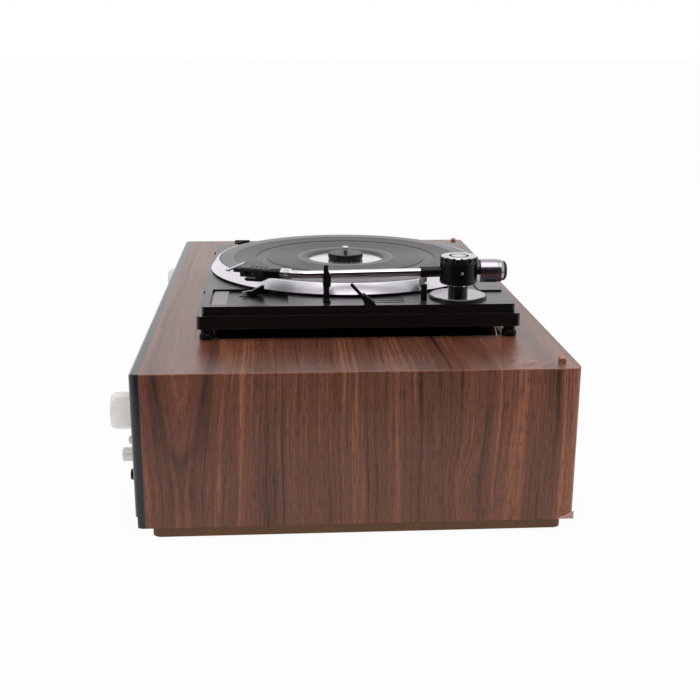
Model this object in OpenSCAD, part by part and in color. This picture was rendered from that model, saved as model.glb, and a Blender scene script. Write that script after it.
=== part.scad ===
/* [Cabinet] */
// Width across the wooden side panels
cabinet_w = 635; // [625:1:680]
// Depth of the wooden panels, without the front bezel
cabinet_d = 380; // [372:1:420]
// Height of the wooden side panels
cabinet_h = 141; // [138:1:165]
// Thickness of the wooden panels
panel_t = 12; // [9:0.5:14]
// Radius of the cabinet's upright rear edges
wrap_r = 6.5; // [1:0.5:8]
// Thickness of the base board
base_t = 11; // [8:0.5:16]
// How far the base board stays inside the side panels
base_inset_x = 6; // [3:0.5:8]
// How far the base board stays inside the rear
base_inset_y = 9; // [4:0.5:9.5]
// How far the base board stays inside the front
base_inset_front = 5; // [4:0.5:9.5]
// Thickness of the rear panel
rear_t = 3; // [2.5:0.5:5]
// How far the rear panel stays inside the rear edges
rear_inset = 10; // [9.5:0.5:14]

/* [Front bezel] */
// Depth of the moulded bezel
bezel_t = 9; // [8:0.5:12]
// Radius of the bezel's upright front edges
bezel_r = 7.5; // [3:0.5:7.5]
// Width of the bezel's rim
bezel_rim = 10; // [8:0.5:12]
// Height of the rim under the face plate
bezel_sill = 14; // [12:0.5:18]
// Height of the stepped foot of the bezel
bezel_foot_h = 10; // [6:0.5:11]
// How far the foot of the bezel steps back
bezel_foot_back = 2.2; // [1:0.1:2.6]
// Chamfer along the bezel's top edge
bezel_chamfer = 2.4; // [1:0.1:3]
// Depth of the face plate behind the bezel's front
face_recess = 3; // [2.8:0.1:4]
// Thickness of the face plate
face_t = 2; // [1.5:0.1:2.5]

/* [Dial] */
// Width of the dial window
dial_w = 400; // [380:1:410]
// Height of the dial window
dial_h = 40; // [34:1:42]
// Sideways place of the dial window's middle
dial_x = 20; // [12:1:24]
// Thickness of the dial glass
glass_t = 3; // [2:0.5:3.5]
// Travel of the pointer
pointer_travel = 200; // [160:1:230]
// Radius of the tuning shaft's cord capstan
capstan_r = 8; // [7:0.5:9]
// Radius of the dial drum
drum_r = 27; // [24:1:29]

/* [Controls] */
// Distance of the column of controls from the cabinet's right side
control_inset = 33.5; // [31.5:0.5:37.5]
// Radius of the tuning and selector knobs
big_knob_r = 18.9; // [16:0.1:20]
// Height of the tuning knob's front above the face plate
big_knob_h = 22; // [18:0.5:26]
// Drop of the tuning knob's middle below the cabinet's top
tune_drop = 42.8; // [41:0.2:44]
// Radius of the tone knobs
small_knob_r = 13; // [10:0.5:15]
// Height of the tone knobs above the face plate
small_knob_h = 17; // [14:0.5:19]
// Drop of the tone knobs' row below the cabinet's top
row_drop = 98; // [97:0.5:101]
// Spacing of the tone knobs
row_pitch = 100; // [94:1:104]
// Radius of the power button
power_r = 6.15; // [5:0.1:6.5]
// Radius of the mono button
mono_r = 3.6; // [3.5:0.1:4.8]
// Radius of the headphone socket
socket_r = 3.2; // [3.1:0.05:3.3]
// Radius of the control shafts
shaft_r = 3; // [2.8:0.05:3.2]

/* [Deck] */
// Width of the deck plate
deck_w = 326; // [322:1:345]
// Depth of the deck plate
deck_d = 296; // [292:1:310]
// Sideways place of the deck plate's middle
deck_x = 47; // [40:1:60]
// Front to rear place of the deck plate's middle
deck_y = 5; // [0:1:8]
// Radius of the deck's corners
deck_r = 3.5; // [3:0.5:10]
// Wall thickness of the deck mouldings
deck_wall = 3; // [2.5:0.25:3.5]
// Height of the feet under the deck
foot_h = 11; // [9:0.5:16]
// Height of the lower tray
tray_h = 12.5; // [10:0.5:14]
// Height of the deck plate's skirt
deck_h = 8.5; // [8.5:0.5:12]
// Width of the tray's ledge at the sides
ledge_x = 3.5; // [2:0.5:5]
// Width of the tray's ledge at the front and rear
ledge_y = 5; // [3:0.5:7]
// Radius of the rubber feet
foot_r = 7; // [5:0.5:7.5]
// Depth of the control recess
recess_depth = 2.5; // [1.5:0.25:3]

/* [Platter] */
// Radius of the platter's rim
platter_r = 146; // [136:0.5:147]
// Distance of the platter's axis from the deck's right edge
platter_inset = 180; // [178:1:184]
// Width of the platter's bare rim
platter_edge = 9; // [7:0.5:12]
// Height of the platter's rim
rim_h = 11.1; // [10:0.1:12]
// Gap under the platter's rim
rim_gap = 1.5; // [1.5:0.25:4]
// Thickness of the rubber mat
mat_t = 3; // [2.4:0.2:4]
// Radius of the bare disc in the mat's middle
label_r = 41.6; // [36:0.2:45]
// Inner radius of the mat's trough for the edge of a small record
trough_r = 85; // [80:0.5:90]
// Width of that trough
trough_w = 12.5; // [8:0.5:16]
// Depth of that trough
trough_depth = 1; // [0.4:0.1:1.4]
// Radius of the spindle
spindle_r = 3.6; // [3.5:0.05:3.65]
// Height of the spindle above the mat
spindle_h = 11; // [8:0.5:14]
// Radius of the record adapter
adapter_r = 19; // [18:0.1:19.1]
// Height of the record adapter
adapter_h = 6.7; // [4:0.1:7]
// Radius of the idler wheel
idler_r = 20; // [17:0.5:22]
// Radius of the motor pulley
pulley_r = 4.5; // [4:0.25:5.5]

/* [Tonearm] */
// Distance of the arm's pivot to the right of the platter's axis
arm_dx = 149.5; // [148:0.5:152]
// Distance of the arm's pivot behind the platter's axis
arm_dy = 99.6; // [99:0.2:104]
// Height of the arm's axis above the deck
arm_h = 25.8; // [25:0.1:29]
// Drop of the arm tube below the arm's axis at the pivot
tube_drop = 0.2; // [0:0.1:1]
// Downward slope of the arm tube towards the head in degrees
arm_tilt = 0.9; // [0:0.1:1.2]
// Radius of the arm tube
tube_r = 3.8; // [3:0.1:4]
// Length of the straight run of the arm tube from the pivot
arm_straight = 142; // [138:0.2:150]
// Angle of the headshell to the arm
head_angle = 24; // [18:0.5:26]
// Radius of the bend in the arm tube
bend_r = 40; // [32:1:44]
// Length of the headshell
head_l = 41; // [38:0.5:46]
// Width of the headshell's front
head_w = 17; // [15:0.5:20]
// Radius of the gimbal housing
gimbal_r = 18; // [17:0.25:19]
// Radius of the arm's base disc
disc_r = 28; // [26:0.5:30]
// Radius of the counterweight
weight_r = 11.25; // [10:0.25:12]
// Largest lift of the arm in degrees
lift_max = 7; // [4:0.5:8]
// Largest swing of the arm in degrees
swing_max = 33; // [28:0.5:34]

/* [Hidden] */
$fn = 64;
// Shared clearances: a running shaft, a moving gap, a seated edge
run_gap = 0.06;
move_gap = 0.3;
seat_gap = 0.2;
// Colours
wood_tone = [0.30, 0.17, 0.12];
board_tone = [0.36, 0.30, 0.20];
black_tone = [0.05, 0.05, 0.055];
silver_tone = [0.78, 0.78, 0.80];
chrome_tone = [0.86, 0.87, 0.90];
rubber_tone = [0.13, 0.13, 0.14];
steel_tone = [0.62, 0.63, 0.65];
copper_tone = [0.55, 0.30, 0.20];
// Heights and depths of the cabinet
z_wood = base_t;
z_top = base_t + cabinet_h;
y_front = -cabinet_d / 2;
y_back = cabinet_d / 2;
inner_w = cabinet_w - 2 * panel_t;
z_inner = z_top - panel_t;
y_rear = y_back - rear_inset - rear_t;
// Layers of the front, from the bezel inwards
y_bezel = y_front - bezel_t;
y_face = y_bezel + face_recess;
y_glass = y_face + face_t;
y_glass_back = y_glass + glass_t;
pointer_room = 4;
scale_t = 1;
wall_t = 1.2;
y_scale = y_glass_back + pointer_room;
y_wall = y_scale + scale_t;
y_behind = y_wall + wall_t;
y_cord = y_behind + 4.8;
open_w = cabinet_w - 2 * bezel_rim;
control_x = cabinet_w / 2 - control_inset;
open_h = cabinet_h - bezel_rim - bezel_sill;
z_open = z_wood + bezel_sill + open_h / 2;
plate_lip = 2.5;
plate_w = open_w + 2 * plate_lip;
plate_h = open_h + 2 * plate_lip;
plate_corner = 4;
glass_lip = 4;
glass_corner = 3;
bush_room = 0.6;
// Chassis
chassis_w = inner_w - 12;
chassis_d = 125;
transformer_x = 85.5 - inner_w / 2;
transformer_back = 60;
sink_w = 100;
sink_t = 4;
sink_h = 60;
sink_back = 100;
sink_x = inner_w / 2 - sink_w / 2 - 45.5;
z_floor = z_wood + wall_t;
z_wall_top = z_inner - 7;
board_w = 190;
board_d = 90;
board_t = 1.6;
board_gap = 25;
board_x = sink_x - sink_w / 2 - board_gap - board_w / 2;
board_standoff = 8;
board_margin = 6;
y_board = y_behind + 72;
standoff_r = 3;
// Places of the front's controls
z_tune = z_top - tune_drop;
z_row = z_top - row_drop;
button_gap = 8.5;
power_gap = 3.9;
socket_gap = 13;
z_mono = z_tune - big_knob_r - button_gap;
z_power = z_mono - mono_r - power_r - power_gap;
z_socket = z_power - power_r - socket_gap;
selector_x = dial_x - dial_w / 2 - 70;
tone_xs = [for (i = [-1.5, -0.5, 0.5, 1.5]) i * row_pitch];
power_out = 15;
power_travel = 4;
mono_out = 9.2;
mono_travel = 3;
button_rod_r = 2;
pot_r = 9;
pot_l = 10;
switch_r = 13;
switch_l = 16;
bush_r = 4.5;
bush_out = 4;
shaft_l = 9;
switch_box = 11;
socket_nut_r = 5.2;
socket_out = 8.7;
socket_l = 22;
// Dial cord drive
cord_t = 1;
cord_gap = 0.3;
guide_r = 4;
guide_reach = 60;
guide_xs = [dial_x - pointer_travel / 2 - guide_reach, dial_x + pointer_travel / 2 + guide_reach];
z_cord = z_wall_top - 5;
z_guide = z_cord - cord_t / 2 - cord_gap - guide_r;
drum_x = -row_pitch;
z_drum = z_row + pot_r + 3 + cord_gap + cord_t + drum_r;
drum_t = 6;
flange = 1.6;
groove_w = 2.6;
gang_size = [44, 46, 40];
gang_leg_t = 4;
// Deck heights
z_tray = z_top + foot_h;
z_skirt = z_tray + tray_h;
z_deck = z_skirt + deck_h;
tray_w = deck_w + 2 * ledge_x;
tray_d = deck_d + 2 * ledge_y;
tray_wall = ledge_x + 2;
tray_floor = 2.5;
tray_border = 24;
foot_inset = foot_r + 2;
hole_inset_x = 8;
hole_inset_y = 2 * foot_r + 1.5;
// Platter drive
platter_x = deck_x + deck_w / 2 - platter_inset;
platter_y = deck_y - 2.2;
mat_r = platter_r - platter_edge;
z_rim = z_deck + rim_gap;
z_mat = z_rim + rim_h;
z_plate = z_mat - mat_t;
plate_t = 2.2;
well_r = platter_r - 17;
well_depth = 12;
z_well = z_deck - well_depth;
well_floor = 3;
drive_r = well_r - 13;
drive_t = 2.5;
hub_r = 14;
post_r = 6;
thrust_h = 3;
z_hub = z_well + thrust_h + move_gap;
drive_angle = 150;
drive_h = 7;
idler_hub_r = 5;
z_idler = z_well + 2;
axle_r = 2;
idler_reach = drive_r - idler_r - move_gap;
pulley_reach = idler_reach - idler_r - pulley_r - move_gap;
motor_size = [62, 52, 34];
motor_shaft_r = 1.5;
// Tonearm
arm_x = platter_x + arm_dx;
arm_y = platter_y + arm_dy;
z_arm = z_deck + arm_h;
disc_t = 3;
column_r = 9.4;
gimbal_low = 11.5;
gimbal_high = 9;
cap_h = 6;
sleeve_r = tube_r + 1.4;
sleeve_front = 37;
sleeve_back = 14;
slot_room = 0.6;
slot_low = sleeve_r + tube_drop + gimbal_r * sin(lift_max) + slot_room;
axle_reach = 12;
pivot_r = 1.5;
swing_r = 5;
tube_wall = 0.6;
stub_r = 4;
weight_front = gimbal_r + weight_r * sin(lift_max) + 0.5;
weight_l = 17.4;
ring_l = 5.6;
dial_l = 3;
collar_r = tube_r + 1.3;
collar_l = 11;
tail_l = 2;
stylus_drop = 9.3;
cartridge_low = -8.6;
cartridge_l = head_l - 17.4;
head_top = 4.6;
head_low = -4;
head_roof = 2.4;
lift_w = 36;
lip_w = 9;
lip_l = 8.4;
// Arm rest, cue and levers
rest_back = 128.4;
rest_y = arm_y - rest_back;
rest_reach = 15;
cue_r = 35.8;
cue_post_angle = 16;
cue_travel = 4;
cue_bar = 4;
cue_post_r = 3;
cue_x = deck_x + deck_w / 2 - 5;
cue_y = arm_y - 90.7;
cue_lean = 42;
cue_axle_h = 2.9;
cue_hub_w = 2.2;
cue_ear_t = 1.4;
recess_w = 65;
recess_x1 = deck_x + deck_w / 2 - 9;
recess_x0 = recess_x1 - recess_w;
recess_y0 = deck_y - deck_d / 2 + 7;
recess_y1 = recess_y0 + 74;
tab_angle = -40.2;
tab_r = platter_r + 17;
tab_x = platter_x + tab_r * cos(tab_angle);
tab_y = platter_y + tab_r * sin(tab_angle);
lever_reach = 40;
lever_angle = 217;
lever_x = tab_x - lever_reach * cos(lever_angle);
lever_y = tab_y - lever_reach * sin(lever_angle);
lever_swing = 4;
lever_t = 1.6;
lever_pin_r = 3;
speed_x = deck_x - deck_w / 2 + 8.5;
speed_y = deck_y - deck_d / 2 + 29;

// Height of the arm tube's axis above the deck at a distance from the pivot
function tube_h(reach) = arm_h - tube_drop - reach * tan(arm_tilt);

// A rectangle with quarter-round corners, centred
module rounded_rect(size, r) {
    square([size.x - 2 * r, size.y], center = true);
    square([size.x, size.y - 2 * r], center = true);
    for (x = [-1, 1], y = [-1, 1])
        translate([x * (size.x / 2 - r), y * (size.y / 2 - r)]) circle(r);
}

// A slot with round ends, upright
module slot_shape(w, h) {
    square([w, h - w], center = true);
    for (y = [-1, 1]) translate([0, y * (h - w) / 2]) circle(w / 2);
}

// Flat outline raised between two heights
module slab(z0, z1) {
    translate([0, 0, z0]) linear_extrude(z1 - z0) children();
}

// Outline drawn in X and Z, drawn out along Y
module prism_y(y0, y1) {
    translate([0, y1, 0]) rotate([90, 0, 0]) linear_extrude(y1 - y0) children();
}

// Outline drawn in Y and Z, drawn out along X
module prism_x(x0, x1) {
    translate([x0, 0, 0]) rotate([90, 0, 90]) linear_extrude(x1 - x0) children();
}

// Round bar along Y
module rod_y(r, y0, y1) {
    translate([0, y1, 0]) rotate([90, 0, 0]) cylinder(r = r, h = y1 - y0);
}

// Round bar along X
module rod_x(r, x0, x1) {
    translate([x0, 0, 0]) rotate([0, 90, 0]) cylinder(r = r, h = x1 - x0);
}

// Round bar upright
module rod_z(r, z0, z1) {
    translate([0, 0, z0]) cylinder(r = r, h = z1 - z0);
}

// Copies turned about the upright axis
module around(count) {
    for (i = [0 : count - 1]) rotate(i * 360 / count) children();
}

// Frame of a front control: its axis points out of the face plate
module on_face(x, z) {
    translate([x, y_face, z]) rotate([90, 0, 0]) children();
}

// Plan of the wooden carcass with rounded rear edges
module carcass_plan() {
    translate([0, -wrap_r / 2]) square([cabinet_w, cabinet_d - wrap_r], center = true);
    square([cabinet_w - 2 * wrap_r, cabinet_d], center = true);
    for (x = [-1, 1])
        translate([x * (cabinet_w / 2 - wrap_r), y_back - wrap_r]) circle(wrap_r);
}

// What lies outside the mitre, under the top panel's folded edge
module below_mitre() {
    w = cabinet_w / 2;
    cut = panel_t + 1;
    prism_y(y_front - 1, y_back + 1)
        polygon([[w, z_top], [w - cut, z_top - cut], [w + cut, z_top - cut], [w + cut, z_top]]);
}

// What lies above the mitre of a side panel
module above_mitre() {
    w = cabinet_w / 2;
    cut = panel_t + 1;
    prism_y(y_front - 1, y_back + 1)
        polygon([[w, z_top], [w - cut, z_top - cut], [w - cut, z_top + 1], [w, z_top + 1]]);
}

module base_board() {
    corner = 8;
    w = cabinet_w - 2 * base_inset_x;
    d = cabinet_d - base_inset_front - base_inset_y;
    color(board_tone) slab(0, base_t) translate([0, (base_inset_front - base_inset_y) / 2])
        rounded_rect([w, d], corner);
}

// Places of the two pegs that a dust cover hooks on
peg_inset = [18.5, 13.5];
peg_shank_r = 2;

module at_cover_screws() {
    for (x = [-1, 1]) translate([x * (cabinet_w / 2 - peg_inset.x), y_back - peg_inset.y, z_top])
        children();
}

module top_panel() {
    hole_w = tray_w - 2 * hole_inset_x;
    hole_d = tray_d - 2 * hole_inset_y;
    corner = 10;
    color(wood_tone) difference() {
        slab(z_inner, z_top) carcass_plan();
        below_mitre();
        mirror([1, 0, 0]) below_mitre();
        slab(z_inner - 1, z_top + 1) translate([deck_x, deck_y]) rounded_rect([hole_w, hole_d], corner);
        at_cover_screws() rod_z(peg_shank_r, -panel_t - 1, 1);
    }
}

module right_side_panel() {
    color(wood_tone) difference() {
        slab(z_wood, z_top) intersection() {
            carcass_plan();
            translate([cabinet_w / 2 - panel_t, y_front]) square([panel_t, cabinet_d]);
        }
        above_mitre();
    }
}

module left_side_panel() {
    mirror([1, 0, 0]) right_side_panel();
}

// Places along the rear panel
gland_inset = 90;
gland_x = gland_inset - cabinet_w / 2;
gland_z = z_wood + 30;
gland_hole_r = 6;
jacks = 4;
jack_inset = 190;
jack_pitch = 24;
jack_xs = [for (i = [0 : jacks - 1]) cabinet_w / 2 - jack_inset + i * jack_pitch];
jack_z = z_wood + 40;
jack_hole_r = 4.6;

module rear_panel() {
    vent_count = 16;
    vent_pitch = 9;
    vent_size = [4, 42];
    vent_z = z_wood + 84;
    color(board_tone) difference() {
        prism_y(y_rear, y_rear + rear_t) translate([-inner_w / 2, z_wood])
            square([inner_w, z_inner - z_wood]);
        for (side = [-1, 1], i = [0 : vent_count - 1])
            translate([side * inner_w / 4 + (i - (vent_count - 1) / 2) * vent_pitch, 0, vent_z])
                prism_y(y_rear - 1, y_rear + rear_t + 1) slot_shape(vent_size.x, vent_size.y);
        translate([gland_x, 0, gland_z]) rod_y(gland_hole_r, y_rear - 1, y_rear + rear_t + 1);
        for (x = jack_xs) translate([x, 0, jack_z]) rod_y(jack_hole_r, y_rear - 1, y_rear + rear_t + 1);
    }
}

// Plan of the bezel with rounded front edges
module bezel_plan() {
    translate([0, y_front]) {
        translate([-cabinet_w / 2, bezel_r - bezel_t]) square([cabinet_w, bezel_t - bezel_r]);
        translate([-cabinet_w / 2 + bezel_r, -bezel_t]) square([cabinet_w - 2 * bezel_r, bezel_t]);
        for (x = [-1, 1]) translate([x * (cabinet_w / 2 - bezel_r), bezel_r - bezel_t]) circle(bezel_r);
    }
}

module front_bezel() {
    pocket = [plate_w + 2 * seat_gap, plate_h + 2 * seat_gap];
    color(black_tone) difference() {
        intersection() {
            slab(z_wood, z_top) bezel_plan();
            translate([-cabinet_w / 2, y_bezel, z_wood]) cube([cabinet_w, bezel_t, cabinet_h]);
        }
        translate([0, 0, z_open]) {
            prism_y(y_bezel - 1, y_front + 1) rounded_rect([open_w, open_h], plate_corner);
            prism_y(y_face, y_front + 1) rounded_rect(pocket, plate_corner);
        }
        prism_x(-cabinet_w, cabinet_w) polygon([[y_bezel - 1, z_top + 1],
            [y_bezel - 1, z_top - bezel_chamfer], [y_bezel, z_top - bezel_chamfer],
            [y_bezel + bezel_chamfer, z_top], [y_bezel + bezel_chamfer, z_top + 1]]);
        translate([-cabinet_w, y_bezel - 1, z_wood - 1])
            cube([2 * cabinet_w, 1 + bezel_foot_back, 1 + bezel_foot_h]);
    }
}

module face_plate() {
    color(silver_tone) difference() {
        translate([0, 0, z_open]) prism_y(y_face, y_glass) rounded_rect([plate_w, plate_h], plate_corner);
        translate([dial_x, 0, z_tune]) prism_y(y_face - 1, y_glass + 1)
            rounded_rect([dial_w, dial_h], glass_corner);
        for (x = tone_xs) on_face(x, z_row) rod_z(bush_r + bush_room, -face_t - 1, 1);
        for (x = [selector_x, control_x]) on_face(x, z_tune) rod_z(bush_r + bush_room, -face_t - 1, 1);
        on_face(control_x, z_power) rod_z(power_r + move_gap, -face_t - 1, 1);
        on_face(control_x, z_mono) rod_z(mono_r + move_gap, -face_t - 1, 1);
        on_face(control_x, z_socket) rod_z(socket_nut_r + seat_gap, -face_t - 1, 1);
    }
}

module dial_glass() {
    color([0.10, 0.12, 0.13, 0.6]) translate([dial_x, 0, z_tune])
        prism_y(y_glass, y_glass_back)
            rounded_rect([dial_w + 2 * glass_lip, dial_h + 2 * glass_lip], glass_corner);
}

module dial_scale() {
    low = z_tune - dial_h / 2 - glass_lip;
    color(black_tone) prism_y(y_scale, y_wall)
        translate([dial_x - dial_w / 2 - glass_lip, low])
            square([dial_w + 2 * glass_lip, z_wall_top - low]);
}

// Stand-offs of the circuit board on the chassis floor
module at_standoffs() {
    for (x = [-1, 1], y = [-1, 1])
        translate([board_x + x * (board_w / 2 - board_margin), y_board + y * (board_d / 2 - board_margin), 0])
            children();
}

module chassis() {
    color(steel_tone) {
        difference() {
            union() {
                translate([-chassis_w / 2, y_wall, z_wood]) cube([chassis_w, chassis_d, wall_t]);
                translate([-chassis_w / 2, y_wall, z_wood]) cube([chassis_w, wall_t, z_wall_top - z_wood]);
                at_standoffs() rod_z(standoff_r, z_wood, z_floor + board_standoff);
            }
            for (x = tone_xs) on_face(x, z_row) rod_z(bush_r + seat_gap, -y_behind + y_face - 1, 0);
            on_face(selector_x, z_tune) rod_z(bush_r + seat_gap, -y_behind + y_face - 1, 0);
            on_face(control_x, z_tune) rod_z(shaft_r + run_gap, -y_behind + y_face - 1, 0);
            for (z = [z_power, z_mono]) on_face(control_x, z)
                rod_z(button_rod_r + move_gap, -y_behind + y_face - 1, 0);
            on_face(control_x, z_socket) rod_z(socket_nut_r + seat_gap, -y_behind + y_face - 1, 0);
        }
    }
}

module circuit_board() {
    z_board = z_floor + board_standoff;
    tank_r = 11;
    tank_h = 38;
    tank_pitch = 30;
    can_r = 4;
    can_h = 12;
    can_pitch = 18;
    coil = 8;
    coil_pitch = 22;
    row_x = board_x - 70;
    color([0.35, 0.28, 0.12]) union() {
        translate([board_x, y_board, z_board + board_t / 2]) cube([board_w, board_d, board_t], center = true);
        for (i = [0 : 1])
            translate([board_x + 60, y_board - 22 + i * tank_pitch, z_board])
                cylinder(r = tank_r, h = tank_h);
        for (i = [0 : 5])
            translate([row_x + i * can_pitch, y_board + 20, z_board])
                cylinder(r = can_r, h = can_h + can_r * (i % 3));
        for (i = [0 : 3])
            translate([row_x + i * coil_pitch, y_board - 26, z_board]) cube([coil, coil, coil + board_t]);
    }
}

module power_transformer() {
    core = [66, 40, 55];
    bobbin = [46, 62, 36];
    foot = [84, 40, 3];
    color([0.25, 0.24, 0.23]) translate([transformer_x, y_behind + transformer_back, z_floor]) {
        translate([0, 0, foot.z / 2]) cube(foot, center = true);
        translate([0, 0, core.z / 2]) cube(core, center = true);
        translate([0, 0, core.z / 2]) cube(bobbin, center = true);
    }
}

module heat_sink() {
    fins = 9;
    fin = [2.4, 20];
    color(steel_tone) translate([sink_x, y_behind + sink_back, z_floor]) {
        translate([-sink_w / 2, 0, 0]) cube([sink_w, sink_t, sink_h]);
        for (i = [0 : fins - 1])
            translate([-sink_w / 2 + i * (sink_w - fin.x) / (fins - 1), -fin.y, 0])
                cube([fin.x, fin.y + 1, sink_h]);
    }
}

// A pot or rotary switch behind the chassis wall, with its bush through it
module pot(r, l) {
    back = y_face - y_behind;
    difference() {
        union() {
            rod_z(r, back - l, back);
            rod_z(bush_r, back - 1, back + bush_out);
        }
        rod_z(shaft_r + run_gap, back - shaft_l, back + bush_out + 1);
    }
}

// A push switch behind the chassis wall
module push_switch() {
    back = y_face - y_behind;
    depth = 18;
    difference() {
        translate([-switch_box / 2, -switch_box / 2, back - depth]) cube([switch_box, switch_box, depth]);
        rod_z(button_rod_r + run_gap, back - depth + 2, back + 1);
    }
}

module control_pots() {
    color(steel_tone) {
        for (x = tone_xs) on_face(x, z_row) pot(pot_r, pot_l);
        on_face(selector_x, z_tune) pot(switch_r, switch_l);
        for (z = [z_power, z_mono]) on_face(control_x, z) push_switch();
    }
}

module tuning_gang() {
    front = y_cord + drum_t / 2 + 1.5;
    low = z_drum - gang_size.z / 2;
    color(steel_tone) difference() {
        union() {
            translate([drum_x - gang_size.x / 2, front, low]) cube(gang_size);
            for (y = [front, front + gang_size.y - gang_leg_t])
                translate([drum_x - gang_size.x / 2, y, z_floor])
                    cube([gang_size.x, gang_leg_t, low - z_floor + 1]);
        }
        translate([drum_x, 0, z_drum]) rod_y(shaft_r + run_gap, front - 1, front + 12);
    }
}

// Outline that hugs the cord's four wheels, at a distance from their grooves
module cord_hull(grow) {
    hull() {
        for (x = guide_xs) translate([x, z_guide]) circle(guide_r + grow);
        translate([control_x, z_tune]) circle(capstan_r + grow);
        translate([drum_x, z_drum]) circle(drum_r + grow);
    }
}

module dial_cord() {
    color([0.85, 0.80, 0.65]) prism_y(y_cord - cord_t / 2, y_cord + cord_t / 2) difference() {
        cord_hull(cord_gap + cord_t);
        cord_hull(cord_gap);
    }
}

// Grooved wheel about Y for the dial cord
module cord_wheel(r, t) {
    rotate([90, 0, 0]) rotate_extrude() polygon([[0, -t / 2], [r + flange, -t / 2],
        [r + flange, -groove_w / 2 - 0.4], [r, -groove_w / 2 + 0.4], [r, groove_w / 2 - 0.4],
        [r + flange, groove_w / 2 + 0.4], [r + flange, t / 2], [0, t / 2]]);
}

module cord_guides() {
    color([0.9, 0.9, 0.86]) for (x = guide_xs) translate([x, y_cord, z_guide]) {
        cord_wheel(guide_r, drum_t);
        rod_y(2, y_behind - y_cord, 0);
    }
}

module headphone_jack() {
    back = y_face - y_behind;
    nose = 1.5;
    box = 16;
    color(black_tone) on_face(control_x, z_socket) difference() {
        union() {
            rod_z(socket_nut_r, back - 1, socket_out - nose);
            translate([0, 0, socket_out - nose])
                cylinder(r1 = socket_nut_r, r2 = socket_nut_r - 0.8, h = nose);
            translate([-box / 2, -box / 2, back - socket_l]) cube([box, box, socket_l]);
        }
        rod_z(socket_r, back - socket_l + 3, socket_out + 1);
    }
}

// Phono jack that points out of the rear
module phono_jack() {
    barrel_r = 4.15;
    barrel_l = 10;
    flange_r = 6.2;
    flange_t = 2;
    pin_r = 1.65;
    tail = 4;
    translate([0, y_rear + rear_t, 0]) difference() {
        union() {
            rod_y(flange_r, 0, flange_t);
            rod_y(barrel_r, 0, flange_t + barrel_l);
            rod_y(jack_hole_r - seat_gap, -rear_t - tail, 1);
        }
        rod_y(pin_r, flange_t, flange_t + barrel_l + 1);
    }
}

module phono_jacks() {
    color(steel_tone) for (x = jack_xs) translate([x, 0, jack_z]) phono_jack();
}

module cord_gland() {
    cord_r = 3.6;
    flange_t = 3;
    tail = rear_t + 5;
    color(black_tone) translate([gland_x, y_rear + rear_t, gland_z]) difference() {
        union() {
            rod_y(gland_hole_r + 2.5, 0, flange_t);
            rod_y(gland_hole_r - seat_gap / 2, -tail, 1);
        }
        rod_y(cord_r, -tail - 1, flange_t + 1);
    }
}

module cover_screws() {
    head_r = 3.5;
    head_h = 5.8;
    dome = 2.5;
    color(copper_tone) at_cover_screws() {
        rotate_extrude() polygon(concat([[0, 0], [head_r, 0]],
            [for (a = [0 : 10 : 90]) [head_r * cos(a), head_h - dome + dome * sin(a)]]));
        rod_z(peg_shank_r - run_gap, 2 - panel_t, 1);
    }
}

// Outline of a deck moulding around the deck's middle
module deck_outline(w, d, r) {
    translate([deck_x, deck_y]) rounded_rect([w, d], r);
}

// Control recess in the front right of the deck, kept clear of the well
module recess_outline(grow) {
    difference() {
        translate([recess_x0 - grow, recess_y0 - grow])
            square([recess_x1 - recess_x0 + 2 * grow, recess_y1 - recess_y0 + 2 * grow]);
        translate([platter_x, platter_y]) circle(well_r + deck_wall + 3 - grow);
    }
}

module at_platter() {
    translate([platter_x, platter_y, 0]) children();
}

module at_idler() {
    at_platter() rotate(drive_angle) translate([idler_reach, 0, 0]) children();
}

module at_motor() {
    at_platter() rotate(drive_angle) translate([pulley_reach, 0, 0]) children();
}

module at_lever() {
    translate([lever_x, lever_y, 0]) children();
}

module at_cue_post() {
    translate([arm_x, arm_y, 0]) rotate(cue_post_angle) translate([0, -cue_r, 0]) children();
}

// Ears that carry the cue lever's axle
module cue_ears() {
    toe = 2.4;
    heel = 8.3;
    peak = 10.4;
    brow = [-5.8, 6.9];
    for (side = [-1, 1]) translate([cue_x + side * (cue_hub_w + move_gap + cue_ear_t / 2), cue_y, z_deck])
        prism_x(-cue_ear_t / 2, cue_ear_t / 2) polygon([[-toe, -1], [heel, -1], [heel, 0.4],
            [-toe, peak], brow, [-toe, 1.6]]);
}

// Moulded grooves beside the arm rest
module vent_grooves() {
    count = 5;
    pitch = 7;
    for (i = [0 : count - 1])
        translate([recess_x1 - 2 - i * pitch, cue_y + 21.3, z_deck - 1.4])
            linear_extrude(2) slot_shape(2.6, 32);
}

// Slot that the control lever's tab moves in
module lever_slot() {
    spread = lever_swing + 9;
    at_lever() rotate(lever_angle - spread) translate([0, 0, z_skirt])
        rotate_extrude(angle = 2 * spread) translate([lever_reach - 2, 0]) square([4, deck_h + 1]);
}

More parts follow.
